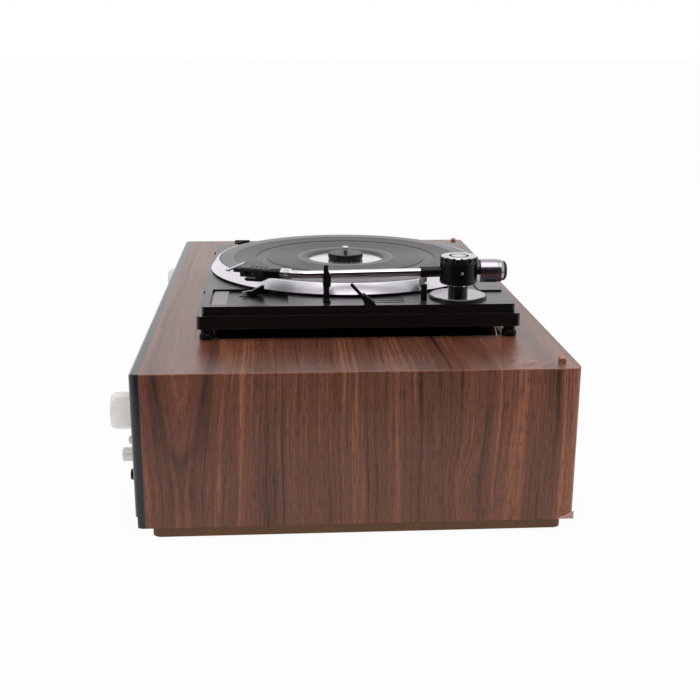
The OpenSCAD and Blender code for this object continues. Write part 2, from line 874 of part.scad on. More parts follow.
module deck_plate() {
    well_can_r = well_r + deck_wall;
    boss_r = 5;
    z_recess = z_deck - recess_depth;
    pad_w = 35;
    pad_h = 1.6;
    pad_x = arm_x - 40.5;
    pad_y0 = arm_y + 25.1;
    pad_y1 = deck_y + deck_d / 2 - 2;
    color(black_tone) {
        difference() {
            union() {
                slab(z_skirt, z_deck) deck_outline(deck_w, deck_d, deck_r);
                at_platter() rod_z(well_can_r, z_well - well_floor, z_skirt + 1);
                slab(z_deck - 1, z_deck + pad_h) translate([pad_x, (pad_y0 + pad_y1) / 2])
                    rounded_rect([pad_w, pad_y1 - pad_y0], 3);
                cue_ears();
            }
            difference() {
                slab(z_skirt - 1, z_deck - deck_wall)
                    deck_outline(deck_w - 2 * deck_wall, deck_d - 2 * deck_wall, deck_r / 4);
                at_platter() rod_z(well_can_r, z_well - well_floor, z_deck);
                slab(z_recess - deck_wall, z_deck) recess_outline(deck_wall);
                at_lever() rod_z(boss_r, z_skirt + lever_t, z_deck);
            }
            at_platter() rod_z(well_r, z_well, z_deck + 1);
            slab(z_recess, z_deck + 1) recess_outline(0);
            at_platter() rod_z(post_r + seat_gap, z_well - well_floor - 1, z_well + 1);
            at_motor() rod_z(pulley_r + 2.5, z_well - well_floor - 1, z_well + 1);
            at_cue_post() rod_z(cue_post_r + run_gap, z_skirt - 1, z_deck + 1);
            translate([speed_x, speed_y, 0]) rod_z(lever_pin_r + run_gap, z_skirt - 1, z_deck + 1);
            translate([cue_x, cue_y, z_deck + cue_axle_h])
                rod_x(pivot_r + run_gap, -4 * cue_hub_w, 4 * cue_hub_w);
            vent_grooves();
            lever_slot();
        }
        at_idler() rod_z(idler_hub_r, z_well - 1, z_idler - move_gap);
        at_idler() rod_z(axle_r, z_well - 1, z_idler + drive_h + 2);
        at_lever() rod_z(lever_pin_r, z_skirt - 4, z_skirt + lever_t + 1);
    }
}

module deck_base() {
    clip = [8, 3, 2.4];
    color(black_tone) {
        difference() {
            slab(z_tray, z_skirt) deck_outline(tray_w, tray_d, deck_r + 1);
            slab(z_tray + tray_floor, z_skirt + 1)
                deck_outline(tray_w - 2 * tray_wall, tray_d - 2 * (ledge_y + 2), deck_r / 2);
            slab(z_tray - 1, z_skirt)
                deck_outline(tray_w - 2 * tray_border, tray_d - 2 * tray_border, deck_r);
        }
        for (x = [-deck_w / 2 + 12, 62])
            translate([deck_x + x, deck_y - deck_d / 2 - ledge_y / 2, z_skirt])
                translate([-clip.x / 2, -clip.y / 2, -1]) cube(clip);
    }
}

module deck_feet() {
    waist = foot_r - 1.4;
    color(rubber_tone) for (x = [-1, 1], y = [-1, 1])
        translate([deck_x + x * (tray_w / 2 - foot_inset), deck_y + y * (tray_d / 2 - foot_inset), z_top])
            rotate_extrude() polygon([[0, 0], [foot_r - 0.6, 0], [foot_r, 0.8], [foot_r, foot_h * 0.45],
                [waist, foot_h * 0.6], [waist, foot_h], [0, foot_h]]);
}

module control_plate() {
    z_recess = z_deck - recess_depth;
    margin = 2;
    strip = 14;
    t = 1;
    color([0.62, 0.62, 0.64])
        translate([recess_x0 + margin, recess_y0 + margin, z_recess])
            cube([recess_x1 - recess_x0 - 2 * margin, strip, t]);
}

module spindle() {
    foot = 11;
    tip = z_mat + spindle_h;
    shoulder = z_plate - 1;
    z_tail = z_well - well_floor - 6;
    dome = 1.2;
    color(chrome_tone) at_platter() rotate_extrude() polygon(concat([
        [0, z_tail], [post_r, z_tail], [post_r, z_well],
        [foot, z_well], [foot, z_well + thrust_h], [post_r, z_well + thrust_h], [post_r, shoulder],
        [spindle_r, shoulder]],
        [for (a = [0 : 10 : 90]) [spindle_r * cos(a), tip - dome + dome * sin(a)]]));
}

// Section of the platter: hub, plate, drive ring and bevelled rim
module platter() {
    lip = mat_r + seat_gap;
    rim_t = 3;
    z_low = z_plate - plate_t;
    color(chrome_tone) at_platter() {
        rotate_extrude() polygon([[post_r + run_gap, z_hub], [hub_r, z_hub], [hub_r, z_low],
            [drive_r, z_low], [drive_r, z_idler], [drive_r + drive_t, z_idler], [drive_r + drive_t, z_low],
            [lip - 1, z_low], [platter_r - rim_t, z_rim], [platter_r - 0.8, z_rim], [platter_r, z_rim + 1],
            [platter_r - 1.2, z_rim + 2.6], [lip + 2.2, z_mat - 0.9], [lip + 1.2, z_mat - 0.4],
            [lip, z_mat - 0.4], [lip, z_plate], [post_r + run_gap, z_plate]]);
    }
}

// Section of the rubber mat: a dished middle, a trough and a raised rim
module platter_mat() {
    edge = 0.8;
    band = 11;
    rim_band = 16.5;
    sunk = 0.25;
    top = mat_t - sunk;
    floor_z = top - trough_depth;
    outer_r = trough_r + trough_w;
    color(rubber_tone) at_platter() translate([0, 0, z_plate]) rotate_extrude()
        polygon([[mat_r, 0], [label_r, 0], [label_r, mat_t - 2 * sunk], [label_r + band, mat_t],
            [label_r + band + edge, top], [trough_r, top], [trough_r + edge, floor_z],
            [outer_r - edge / 2, floor_z], [outer_r, top], [mat_r - rim_band, top],
            [mat_r - rim_band + edge, mat_t], [mat_r - edge, mat_t], [mat_r, mat_t - edge]]);
}

module record_adapter() {
    lobes = 8;
    notch_r = 2.6;
    notch_depth = 0.9;
    bore = spindle_r + 0.09;
    round_r = 2.5;
    edge = 0.8;
    color(black_tone) at_platter() translate([0, 0, z_plate]) difference() {
        rotate_extrude() polygon(concat([[bore, adapter_h], [bore, 0]],
            [for (a = [0 : 15 : 90]) [adapter_r - round_r + round_r * sin(a), round_r - round_r * cos(a)]],
            [[adapter_r, adapter_h - edge], [adapter_r - edge, adapter_h]]));
        rotate(180 / lobes) around(lobes) translate([adapter_r + notch_r - notch_depth, 0, 0])
            rod_z(notch_r, -1, adapter_h + 1);
    }
}

module idler_wheel() {
    rim_t = 4;
    web = 2;
    color(rubber_tone) at_idler() rotate_extrude() polygon([[axle_r + run_gap, z_idler],
        [idler_hub_r, z_idler], [idler_hub_r, z_idler + web],
        [idler_r - rim_t, z_idler + web], [idler_r - rim_t, z_idler + 1],
        [idler_r - 1, z_idler + 1], [idler_r, z_idler + 2], [idler_r, z_idler + drive_h - 1],
        [idler_r - 1, z_idler + drive_h], [idler_r - rim_t, z_idler + drive_h],
        [idler_r - rim_t, z_idler + 2 * web], [idler_hub_r, z_idler + 2 * web],
        [idler_hub_r, z_idler + drive_h], [axle_r + run_gap, z_idler + drive_h]]);
}

module motor() {
    top = z_well - well_floor;
    plate = 2;
    stack = 20;
    bracket = [motor_size.x + 16, 28, plate];
    can_r = 15;
    coil = [26, 34, 30];
    z_mid = top - plate - motor_size.z / 2;
    color(steel_tone) at_motor() difference() {
        union() {
            translate([0, 0, top - plate / 2]) cube(bracket, center = true);
            translate([0, 0, z_mid]) cube([motor_size.x, motor_size.y, stack], center = true);
            rod_z(can_r, top - plate - motor_size.z, top - 1);
            translate([motor_size.x / 2 - 8, 0, z_mid]) cube(coil, center = true);
        }
        rod_z(motor_shaft_r + run_gap, top - plate - motor_size.z + 3, top + 1);
        rod_z(pulley_r + 2.5, top - 5, top + 1);
    }
}

module motor_pulley() {
    top = z_idler + drive_h + 1;
    shaft_low = z_well - well_floor - motor_size.z + 4;
    color(steel_tone) at_motor() {
        rotate_extrude() polygon([[0, z_well - 1], [pulley_r - 0.6, z_well - 1], [pulley_r - 0.6, z_idler],
            [pulley_r, z_idler + 0.6], [pulley_r, top], [0, top]]);
        rod_z(motor_shaft_r, shaft_low, z_well);
    }
}

module arm_base_disc() {
    color(chrome_tone) translate([arm_x, arm_y, z_deck]) rotate_extrude()
        polygon([[column_r + seat_gap, 0], [disc_r, 0], [disc_r, disc_t - 1], [disc_r - 1.6, disc_t],
            [column_r + seat_gap, disc_t]]);
}

module arm_column() {
    top = arm_h - gimbal_low - move_gap;
    neck = 2.4;
    neck_r = column_r - 0.9;
    color(black_tone) translate([arm_x, arm_y, z_deck]) rotate_extrude()
        polygon([[swing_r + run_gap, 0], [column_r, 0], [column_r, top - neck - 0.6],
            [neck_r, top - neck], [neck_r, top], [swing_r + run_gap, top]]);
}

// Frame of the tonearm: the pivot at the origin, the head towards -Y
module at_arm() {
    translate([arm_x, arm_y, z_arm]) children();
}

module gimbal_housing() {
    half_slot = sleeve_r + slot_room;
    boss_r = 2.8;
    color(black_tone) at_arm() difference() {
        union() {
            rotate_extrude() polygon([[0, -gimbal_low], [gimbal_r - 1, -gimbal_low],
                [gimbal_r, -gimbal_low + 1], [gimbal_r, gimbal_high], [0, gimbal_high]]);
            rod_z(swing_r, -arm_h + 1, -gimbal_low + 1);
            rod_x(boss_r, gimbal_r - 2, gimbal_r + 1.4);
        }
        translate([-half_slot, -gimbal_r - 1, -slot_low])
            cube([2 * half_slot, 2 * gimbal_r + 2, slot_low + gimbal_high + 1]);
        rod_x(pivot_r + run_gap, -axle_reach - move_gap, axle_reach + move_gap);
    }
}

module gimbal_cap() {
    scallops = 15;
    scallop_r = 2.6;
    scallop_depth = 1.3;
    ring = [7.3, 9.6];
    edge = 1.2;
    top = gimbal_high + cap_h;
    groove = top - 1.4;
    color(black_tone) at_arm() difference() {
        rotate_extrude() polygon([[0, gimbal_high], [gimbal_r, gimbal_high],
            [gimbal_r, top - edge], [gimbal_r - edge, top], [ring[1], top], [ring[1], groove],
            [ring[0], groove], [ring[0], top], [0, top]]);
        around(scallops) translate([gimbal_r + scallop_r - scallop_depth, 0, 0])
            rod_z(scallop_r, gimbal_high + 1.6, top + 1);
    }
}

module arm_socket() {
    color(black_tone) {
        at_tube() difference() {
            rod_y(sleeve_r, -sleeve_front, sleeve_back);
            rod_y(tube_r + run_gap, -sleeve_front - 1, -gimbal_r);
        }
        at_arm() {
            rod_x(pivot_r, -axle_reach, axle_reach);
            rod_y(stub_r, sleeve_back - 4, weight_front + weight_l + ring_l + 1);
        }
    }
}

// Frame of the arm tube, sloping down from the pivot
module at_tube() {
    at_arm() translate([0, 0, -tube_drop]) rotate([arm_tilt, 0, 0]) children();
}

// Frame at the end of the arm's bend, the head's direction along -Y
module at_head() {
    at_tube() translate([-bend_r, -arm_straight, 0]) rotate(-head_angle) translate([bend_r, 0, 0]) children();
}

// Section of the arm tube
module tube_ring() {
    difference() {
        circle(tube_r);
        circle(tube_r - tube_wall);
    }
}

module arm_tube() {
    color(chrome_tone) {
        at_tube() prism_y(-arm_straight, -gimbal_r - 1) tube_ring();
        at_tube() translate([-bend_r, -arm_straight, 0]) rotate(-head_angle)
            rotate_extrude(angle = head_angle) translate([bend_r, 0]) tube_ring();
        at_head() prism_y(-tail_l - collar_l / 2, 0) tube_ring();
    }
}

module head_collar() {
    grips = 14;
    grip_r = 0.6;
    color(chrome_tone) at_head() difference() {
        rod_y(collar_r, -tail_l - collar_l, -tail_l);
        rod_y(tube_r + run_gap, -tail_l - collar_l - 1, 1);
        rotate([90, 0, 0]) around(grips) translate([collar_r + grip_r / 2, 0, 0])
            rod_z(grip_r, tail_l + 2.5, tail_l + collar_l - 4);
    }
}

// Outer form of the headshell, from the round neck to the flat front
module headshell_form() {
    y0 = -tail_l - collar_l;
    bevel = 1.4;
    widest = y0 - head_l * 0.4;
    hull() {
        translate([0, y0, 0]) rotate([90, 0, 0]) cylinder(r = collar_r - 0.2, h = 1, $fn = 32);
        translate([-head_w / 2, widest, head_low]) cube([head_w, 1, head_top - head_low - bevel]);
        translate([-head_w / 2 + bevel, widest, head_low]) cube([head_w - 2 * bevel, 1, head_top - head_low]);
        translate([-head_w / 2 + 1, y0 - head_l, head_low])
            cube([head_w - 2, 1, head_top - head_low - bevel]);
        translate([-head_w / 2 + 1 + bevel, y0 - head_l, head_low])
            cube([head_w - 2 - 2 * bevel, 1, head_top - head_low]);
    }
}

// Slanted slot through both cheeks of the headshell, over the cartridge
module head_window() {
    front = -tail_l - collar_l - head_l + 5;
    back = front + 10;
    sill = head_low + 2.8;
    top = sill + 2.6;
    prism_x(-head_w, head_w) polygon([[front, sill], [front, top], [front + 3, top], [back, sill + 1],
        [back, sill]]);
}

module headshell() {
    y0 = -tail_l - collar_l;
    wall = 2;
    bay = [head_w - 2 * wall - 2, head_l - 16];
    vents = 4;
    vent = [8, 1.6, 1];
    vent_pitch = 5;
    lip_t = 3.8;
    color(black_tone) at_head() difference() {
        union() {
            headshell_form();
            translate([-lip_w / 2, y0 - head_l - lip_l, head_low / 6]) cube([lip_w, lip_l + 1, lip_t]);
            rod_y(tube_r - tube_wall - run_gap, y0 - 1, y0 + collar_l / 2 - 1);
        }
        translate([-bay.x / 2, y0 - head_l + wall + 1, head_low - 1])
            cube([bay.x, bay.y, head_top - head_roof - head_low + 1]);
        head_window();
        for (i = [0 : vents - 1]) translate([-vent.x / 2, y0 - 17 - i * vent_pitch, head_top - 0.6])
            cube(vent);
    }
}

module finger_lift() {
    front = -tail_l - collar_l - head_l - lip_l + 2.8;
    depth = 3.6;
    t = 1.4;
    curl = 1.2;
    low = head_low / 6 + 3.8;
    color(chrome_tone) at_head() union() {
        translate([-lift_w / 2, front - depth, low]) cube([lift_w, depth, t]);
        for (side = [-1, 1]) translate([side * lift_w / 2, front - depth, low + t / 2]) rotate([-90, 0, 0])
            cylinder(r = curl, h = depth);
        translate([-3, front - depth, low - 3]) cube([6, 0.8, 3]);
    }
}

module cartridge() {
    front = -tail_l - collar_l - head_l + 3.4;
    w = head_w - 6.6;
    roof = head_top - head_roof;
    low = cartridge_low;
    back = front + cartridge_l;
    body = back - 11.6;
    tongue = head_low - 2;
    color([0.09, 0.09, 0.10]) at_head() union() {
        prism_x(-w / 2, w / 2) polygon([[front, tongue], [front, low + 1.5], [front + 2, low],
            [body + 5, low], [back, tongue], [back, roof], [body, roof], [body, tongue]]);
        translate([0, front + 7, -stylus_drop]) cylinder(r1 = 0.4, r2 = 1.2, h = low + stylus_drop + 0.2);
    }
}

module counterweight() {
    y1 = weight_front + weight_l;
    y2 = y1 + ring_l;
    ring_r = weight_r - 0.4;
    end_r = weight_r - 1.6;
    edge = 0.5;
    seam = 0.5;
    color(chrome_tone) at_arm() rotate([-90, 0, 0]) rotate_extrude() polygon([
        [stub_r + run_gap, weight_front], [weight_r - edge, weight_front], [weight_r, weight_front + edge],
        [weight_r, y1 - edge], [weight_r - edge, y1], [ring_r - seam, y1], [ring_r - seam, y1 + seam],
        [ring_r, y1 + 2 * seam], [ring_r, y2 - ring_l / 2], [end_r, y2], [stub_r + run_gap, y2]]);
}

module weight_dial() {
    y0 = weight_front + weight_l + ring_l;
    y1 = y0 + dial_l;
    r = weight_r - 1.8;
    bevel = 1.6;
    grips = 30;
    grip_r = 0.8;
    color(black_tone) at_arm() rotate([-90, 0, 0]) difference() {
        rotate_extrude() polygon([[stub_r + run_gap, y0], [r, y0], [r, y1 - bevel], [r - bevel, y1],
            [r - 2 * bevel, y1], [r - 3.4, y1 - 1], [stub_r + run_gap, y1 - 1]]);
        around(grips) translate([r + grip_r / 2, 0, 0]) rod_z(grip_r, y0 - 1, y1 + 1);
    }
}

module arm_rest() {
    inner = tube_r + 1.6;
    tube_z = tube_h(rest_back);
    z_shelf = tube_z - tube_r - move_gap;
    post = 7;
    back = -2.7;
    front = 4.6;
    waist = [9, 15];
    shelf_t = 6;
    foot = [rest_reach, 7, 2];
    prong_top = tube_z + 11.3;
    color(black_tone) translate([arm_x, rest_y, z_deck]) union() {
        prism_x(inner, inner + post) polygon([[-3, 0], [4, 0], [3.6, 3], [2.8, waist[0]], [2.8, waist[1] - 2],
            [front, waist[1]], [front, tube_z + 2], [2, tube_z + 5.5], [1.8, prong_top], [-1.8, prong_top],
            [back, tube_z], [back, waist[1]], [-2.2, waist[0]]]);
        translate([inner - 1, -3, 0]) cube(foot);
        translate([-4.5, back, z_shelf - shelf_t]) cube([inner + 5.5, front - back, shelf_t]);
    }
}

module cue_lever() {
    rod_r = 1.6;
    grip_l = 7;
    taper = 2;
    length = 21;
    color(black_tone) translate([cue_x, cue_y, z_deck + cue_axle_h]) {
        rod_x(cue_hub_w, -cue_hub_w, cue_hub_w);
        rod_x(pivot_r, -cue_hub_w - move_gap - cue_ear_t, cue_hub_w + move_gap + cue_ear_t);
        rotate([cue_lean, 0, 0]) {
            rod_z(rod_r, 0, length);
            rod_z(cue_hub_w, 0, grip_l);
            translate([0, 0, grip_l]) cylinder(r1 = cue_hub_w, r2 = rod_r, h = taper);
            translate([0, 0, length]) sphere(rod_r);
        }
    }
}

module cue_platform() {
    top = tube_h(cue_r) - sleeve_r - cue_travel - move_gap - seat_gap;
    spread = cue_post_angle + swing_max + 2;
    color(black_tone) {
        translate([arm_x, arm_y, z_deck + top - cue_bar])
            rotate(-90 - swing_max - 2) rotate_extrude(angle = spread)
                translate([cue_r - cue_bar / 2, 0]) square(cue_bar);
        at_cue_post() rod_z(cue_post_r, z_skirt - 4, z_deck + top);
    }
}

// Upright tab of the control lever, in the lever's own frame
module lever_tab(grow) {
    w = 10;
    rise = deck_h + 2.6;
    translate([lever_reach - 1 - grow, -w / 2 - grow, z_skirt - move_gap])
        cube([lever_t + 2 * grow, w + 2 * grow, rise + grow]);
}

module control_lever() {
    z0 = z_skirt;
    strip_w = 9;
    color(steel_tone) at_lever() rotate(lever_angle) difference() {
        union() {
            translate([0, -strip_w / 2, z0 - move_gap]) cube([lever_reach, strip_w, lever_t]);
            rod_z(strip_w / 2 + 1.5, z0 - move_gap, z0 - move_gap + lever_t);
            lever_tab(0);
        }
        rod_z(lever_pin_r + run_gap, z0 - 1, z0 + lever_t + 1);
    }
}

module lever_grip() {
    low = z_deck - recess_depth + 0.4;
    root = [6.6, 5, 4];
    tip = [4, 2.4, 5.8];
    color(black_tone) difference() {
        hull() {
            translate([tab_x - 3.6, tab_y + 3.6, low]) cube(root);
            translate([tab_x - 2.6, tab_y + 15, low + root.z]) cube(tip);
        }
        at_lever() rotate(lever_angle) lever_tab(seat_gap);
    }
}

module speed_lever() {
    hub_r = 5;
    blade = [2, 17, 1.4];
    color(black_tone) translate([speed_x, speed_y, 0]) {
        rod_z(lever_pin_r, z_skirt - 3, z_deck + 1);
        rod_z(hub_r, z_deck + move_gap, z_deck + 3);
        hull($fn = 24) {
            translate([0, -6, z_deck + 2]) cylinder(r = 3, h = 1, $fn = 24);
            translate([0, 8, z_deck + 2]) cylinder(r = 2, h = 1, $fn = 24);
            translate([-blade.x / 2, -8, z_deck + 5]) cube(blade);
        }
    }
}

// Knob with four flats on its shaft, standing off the face plate
module knob(r, h, shaft_end) {
    skirt = 1;
    collar = skirt + 3;
    grip_r = r - 0.9;
    flats = 4;
    flat_half = 32.5;
    turn = 26;
    rim = 0.76 * r;
    dish = 0.62 * r;
    dish_depth = 0.8;
    mark_w = 1;
    rotate(turn) difference() {
        rotate_extrude() polygon([[0, skirt], [r, skirt], [r, collar], [grip_r + 0.3, collar + 0.4],
            [grip_r, h - r + rim], [rim, h], [dish + dish_depth, h], [dish, h - dish_depth],
            [0, h - dish_depth]]);
        around(flats) translate([grip_r * cos(flat_half), -r, collar + 1]) cube([r, 2 * r, h]);
        rotate(180 / flats) translate([r / 3, -mark_w / 2, h - 2 * dish_depth]) cube([r, mark_w, h]);
    }
    rod_z(shaft_r, shaft_end, skirt + 1);
}

module tuning_knob() {
    end = y_face - y_cord - drum_t;
    color(silver_tone) on_face(control_x, z_tune) {
        knob(big_knob_r, big_knob_h, end);
        translate([0, 0, y_face - y_cord]) rotate([-90, 0, 0]) cord_wheel(capstan_r, drum_t - 1.2);
    }
}

// End of a tone knob's shaft, inside its pot
pot_shaft_end = y_face - y_behind - shaft_l + 1;

module selector_knob() {
    color(silver_tone) on_face(selector_x, z_tune) knob(big_knob_r, big_knob_h, pot_shaft_end);
}

module tone_knob(index) {
    color(silver_tone) on_face(tone_xs[index], z_row) knob(small_knob_r, small_knob_h, pot_shaft_end);
}

module volume_knob() tone_knob(0);
module balance_knob() tone_knob(1);
module bass_knob() tone_knob(2);
module treble_knob() tone_knob(3);

// Push button with a rod that reaches into its switch
module button(r, out, travel) {
    back = y_face - y_wall + travel + 0.8;
    end = y_face - y_behind - 10;
    rotate_extrude() polygon([[0, back], [r, back], [r, out - 1], [r - 1, out], [0, out]]);
    rod_z(button_rod_r, end, back + 1);
}

module power_button() {
    color(silver_tone) on_face(control_x, z_power) button(power_r, power_out, power_travel);
}

module mono_button() {
    color([0.5, 0.5, 0.52]) on_face(control_x, z_mono) button(mono_r, mono_out, mono_travel);
}

module dial_drum() {
    holes = 5;
    color([0.88, 0.86, 0.78]) translate([drum_x, y_cord, z_drum]) {
        difference() {
            cord_wheel(drum_r, drum_t);
            rotate([90, 0, 0]) around(holes) translate([drum_r * 0.58, 0, 0])
                rod_z(drum_r * 0.2, -drum_t, drum_t);
        }
        rod_y(shaft_r, 0, drum_t / 2 + 12);
    }
}

module dial_pointer() {
    blade = 1.4;
    clip_w = 12;
    y0 = y_glass_back + 0.8;
    over = z_wall_top + move_gap;
    low = z_tune - dial_h / 2 + 3;
    color([0.85, 0.25, 0.10]) translate([dial_x, 0, 0]) difference() {
        union() {
            translate([-blade / 2, y0, low]) cube([blade, 0.8, over + 1.8 - low]);
            translate([-clip_w / 2, y0, over]) cube([clip_w, y_cord + 2 - y0, 1.8]);
            translate([-clip_w / 2, y_cord - 2, z_cord - 2.5]) cube([clip_w, 4, over + 1.8 - z_cord + 2.5]);
        }
        translate([0, y_cord, z_cord]) rod_x(1, -clip_w, clip_w);
    }
}

base_board();
top_panel();
left_side_panel();
right_side_panel();
rear_panel();
front_bezel();
face_plate();
dial_glass();
dial_scale();
chassis();
circuit_board();
power_transformer();
heat_sink();
control_pots();
tuning_gang();
dial_cord();
cord_guides();
headphone_jack();
phono_jacks();
cord_gland();
cover_screws();
deck_plate();
deck_base();
deck_feet();
control_plate();
arm_rest();
arm_base_disc();
arm_column();
motor();
spindle();
platter();
platter_mat();
record_adapter();
idler_wheel();
motor_pulley();
gimbal_housing();
gimbal_cap();
arm_socket();
arm_tube();
head_collar();
headshell();
finger_lift();
cartridge();
counterweight();
weight_dial();
cue_lever();
cue_platform();
control_lever();
lever_grip();
speed_lever();
tuning_knob();
dial_drum();
dial_pointer();
volume_knob();
balance_knob();
bass_knob();
treble_knob();
selector_knob();
power_button();
mono_button();
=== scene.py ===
"""Dresses a stereo system: walnut vinyl cabinet, record deck, tone arm and a plain pale stage."""
import math

import bpy
import numpy as np
from bpy.props import FloatProperty, FloatVectorProperty, PointerProperty
from mathutils import Matrix, Vector


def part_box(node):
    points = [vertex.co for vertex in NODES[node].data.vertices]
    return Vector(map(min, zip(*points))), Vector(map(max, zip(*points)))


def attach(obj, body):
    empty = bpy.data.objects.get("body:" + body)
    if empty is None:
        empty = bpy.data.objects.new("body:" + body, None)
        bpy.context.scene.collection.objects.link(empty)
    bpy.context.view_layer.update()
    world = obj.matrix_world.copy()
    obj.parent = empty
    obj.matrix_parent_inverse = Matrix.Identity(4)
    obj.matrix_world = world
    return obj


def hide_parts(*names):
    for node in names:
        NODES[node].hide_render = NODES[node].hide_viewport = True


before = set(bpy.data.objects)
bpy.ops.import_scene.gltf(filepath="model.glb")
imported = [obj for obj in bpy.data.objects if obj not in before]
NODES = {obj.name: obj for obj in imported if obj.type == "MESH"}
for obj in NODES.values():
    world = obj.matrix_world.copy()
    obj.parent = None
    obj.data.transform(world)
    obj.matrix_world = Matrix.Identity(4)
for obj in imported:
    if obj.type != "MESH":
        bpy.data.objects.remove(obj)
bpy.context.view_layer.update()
MM = 0.001

bl_info = {
    "name": "Stereo System Dresser",
    "version": (1, 0, 0),
    "blender": (4, 5, 0),
    "location": "3D View > Sidebar > Stereo",
    "description": "Finishes, small pieces and stage of a stereo system with a record deck",
    "category": "Object",
}


# Properties

def linear(red, green, blue):
    """Linear light of a colour given in screen levels from 0 to 255."""
    levels = np.array((red, green, blue)) / 255
    curved = ((levels + 0.055) / 1.055) ** 2.4
    return tuple(np.where(levels > 0.04045, curved, levels / 12.92).tolist())


def colour(name, text, red, green, blue):
    """A colour that a user may change."""
    return FloatVectorProperty(name=name, description=text, subtype="COLOR", min=0, max=1,
                               default=linear(red, green, blue))


def length(name, text, millimetres):
    """A length that a user may change."""
    return FloatProperty(name=name, description=text, unit="LENGTH", min=0, precision=4,
                         default=millimetres * MM)


def degrees(name, text, value):
    """An angle that a user may change."""
    return FloatProperty(name=name, description=text, subtype="ANGLE", default=math.radians(value))


class CabinetLooks(bpy.types.PropertyGroup):
    """Colours and sizes of the cabinet."""
    wood_dark: colour("Dark streaks", "Darkest growth lines of the vinyl", 50, 27, 21)
    wood_mid: colour("Wood", "Body colour of the vinyl", 114, 67, 48)
    wood_light: colour("Light streaks", "Palest growth lines of the vinyl", 156, 96, 65)
    # Paler line along the top edges: worn vinyl and a painted highlight on the edge
    wood_worn: colour("Worn and highlit edge", "Rubbed line along the top edges", 176, 118, 92)
    backing: colour("Vinyl backing", "Back of the peeled corner", 184, 144, 136)
    board: colour("Base board", "Plain board under the cabinet", 112, 78, 47)
    hardboard: colour("Rear board", "Hardboard that closes the back", 92, 70, 50)
    copper: colour("Pegs", "Pegs that hold a dust cover", 178, 122, 102)
    wear_width: length("Edge wear", "Width of the rubbed line along the edges", 0.9)
    ripple_height: length("Ripple height", "Height of the lifted vinyl on the top", 0.9)
    peel_lift: length("Peel lift", "How far the peeled corner curls out", 0.15)


class FrontLooks(bpy.types.PropertyGroup):
    """Colours and sizes of the front."""
    bezel: colour("Bezel", "Moulded frame of the front", 27, 26, 29)
    face: colour("Face", "Brushed face plate", 204, 203, 203)
    knob: colour("Knobs", "Satin metal of the knobs", 250, 247, 242)
    ink: colour("Dial print", "Ticks and numbers of the dial", 214, 222, 205)
    pointer: colour("Pointer", "Dial pointer", 214, 64, 30)
    tick: length("Tick", "Height of a long tick of the dial", 5)
    figure: length("Figure height", "Height of the numbers of the dial", 6)


class DeckLooks(bpy.types.PropertyGroup):
    """Colours and sizes of the record deck."""
    plastic: colour("Deck", "Black moulding of the deck", 13, 12, 13)
    plate: colour("Plate", "Grey plate by the levers", 160, 155, 160)
    platter: colour("Platter", "Polished metal of the platter", 232, 228, 234)
    mat: colour("Mat", "Rubber of the mat", 97, 94, 98)
    label_r: length("Label radius", "Radius of the opening in the middle of the mat", 41.7)
    trough_r: length("Trough radius", "Inner radius of the trough in the mat", 85)
    trough_w: length("Trough width", "Width of the trough in the mat", 12.5)
    band_r: length("Band radius", "Inner radius of the mat's outer band", 121)
    rib_pitch: length("Rib pitch", "Distance between the ribs of the mat", 2.2)
    rib_depth: length("Rib depth", "Depth between the ribs of the mat", 0.35)


class ArmLooks(bpy.types.PropertyGroup):
    """Colours and sizes of the tone arm."""
    chrome: colour("Chrome", "Bright plating of the arm", 226, 226, 230)
    black: colour("Black", "Black of the arm's head and bearing", 13, 13, 14)
    silver: colour("Silver", "Satin metal of the cap and lift", 200, 200, 203)
    disc: colour("Disc", "Plating of the base disc and the weight", 166, 160, 168)
    screw_r: length("Screw radius", "Radius of the pivot screw", 1.4)


class WorksLooks(bpy.types.PropertyGroup):
    """Colours of the works inside."""
    steel: colour("Steel", "Plated sheet of the chassis", 150, 148, 140)
    circuit: colour("Circuit board", "Lacquer of the board", 62, 84, 46)
    nylon: colour("Nylon", "Guides and drum", 222, 216, 198)


class StageLooks(bpy.types.PropertyGroup):
    """Camera, floor and light."""
    place: FloatVectorProperty(name="Camera", description="Place of the camera", subtype="TRANSLATION",
                               unit="LENGTH", default=(1.19085, -0.07301, 0.41999))
    yaw: degrees("Yaw", "Turn of the camera about the vertical", -4.0129)
    pitch: degrees("Pitch", "How far the camera looks down", 15.867)
    roll: degrees("Roll", "Tilt of the camera", 0.3275)
    lens: FloatProperty(name="Lens", description="Focal length on a 36 mm sensor", default=55.396, min=1)
    floor: colour("Floor", "Pale floor", 250, 250, 250)
    sky: FloatProperty(name="Room light", description="Strength of the light from all round",
                       default=0.6)
    lamp: FloatProperty(name="Lamp", description="Power of the soft lamp", unit="POWER", default=20)
    lamp_size: length("Lamp size", "Side of the soft lamp", 1500)


class StereoLooks(bpy.types.PropertyGroup):
    """Everything that a user may change."""
    cabinet: PointerProperty(type=CabinetLooks)
    front: PointerProperty(type=FrontLooks)
    deck: PointerProperty(type=DeckLooks)
    arm: PointerProperty(type=ArmLooks)
    works: PointerProperty(type=WorksLooks)
    stage: PointerProperty(type=StageLooks)


# Node helpers

GRAIN_RANGE = (0.3, 0.7)


def plug(socket, value):
    """Links a socket, or sets a plain value on it."""
    if isinstance(value, bpy.types.NodeSocket):
        socket.id_data.links.new(value, socket)
    elif socket.type == "RGBA" and len(value) == 3:
        socket.default_value = (*value, 1)
    else:
        socket.default_value = value


def add(tree, kind, inputs=None, **settings):
    """A node with its settings, and its inputs set or linked."""
    made = tree.nodes.new(kind)
    for key, value in settings.items():
        setattr(made, key, value)
    for key, value in (inputs or {}).items():
        plug(made.inputs[key], value)
    return made


def fed(kind, inputs, **settings):
    """A node in the tree of the sockets that feed it."""
    sockets = (value for value in inputs.values() if isinstance(value, bpy.types.NodeSocket))
    return add(next(sockets).id_data, kind, inputs, **settings)


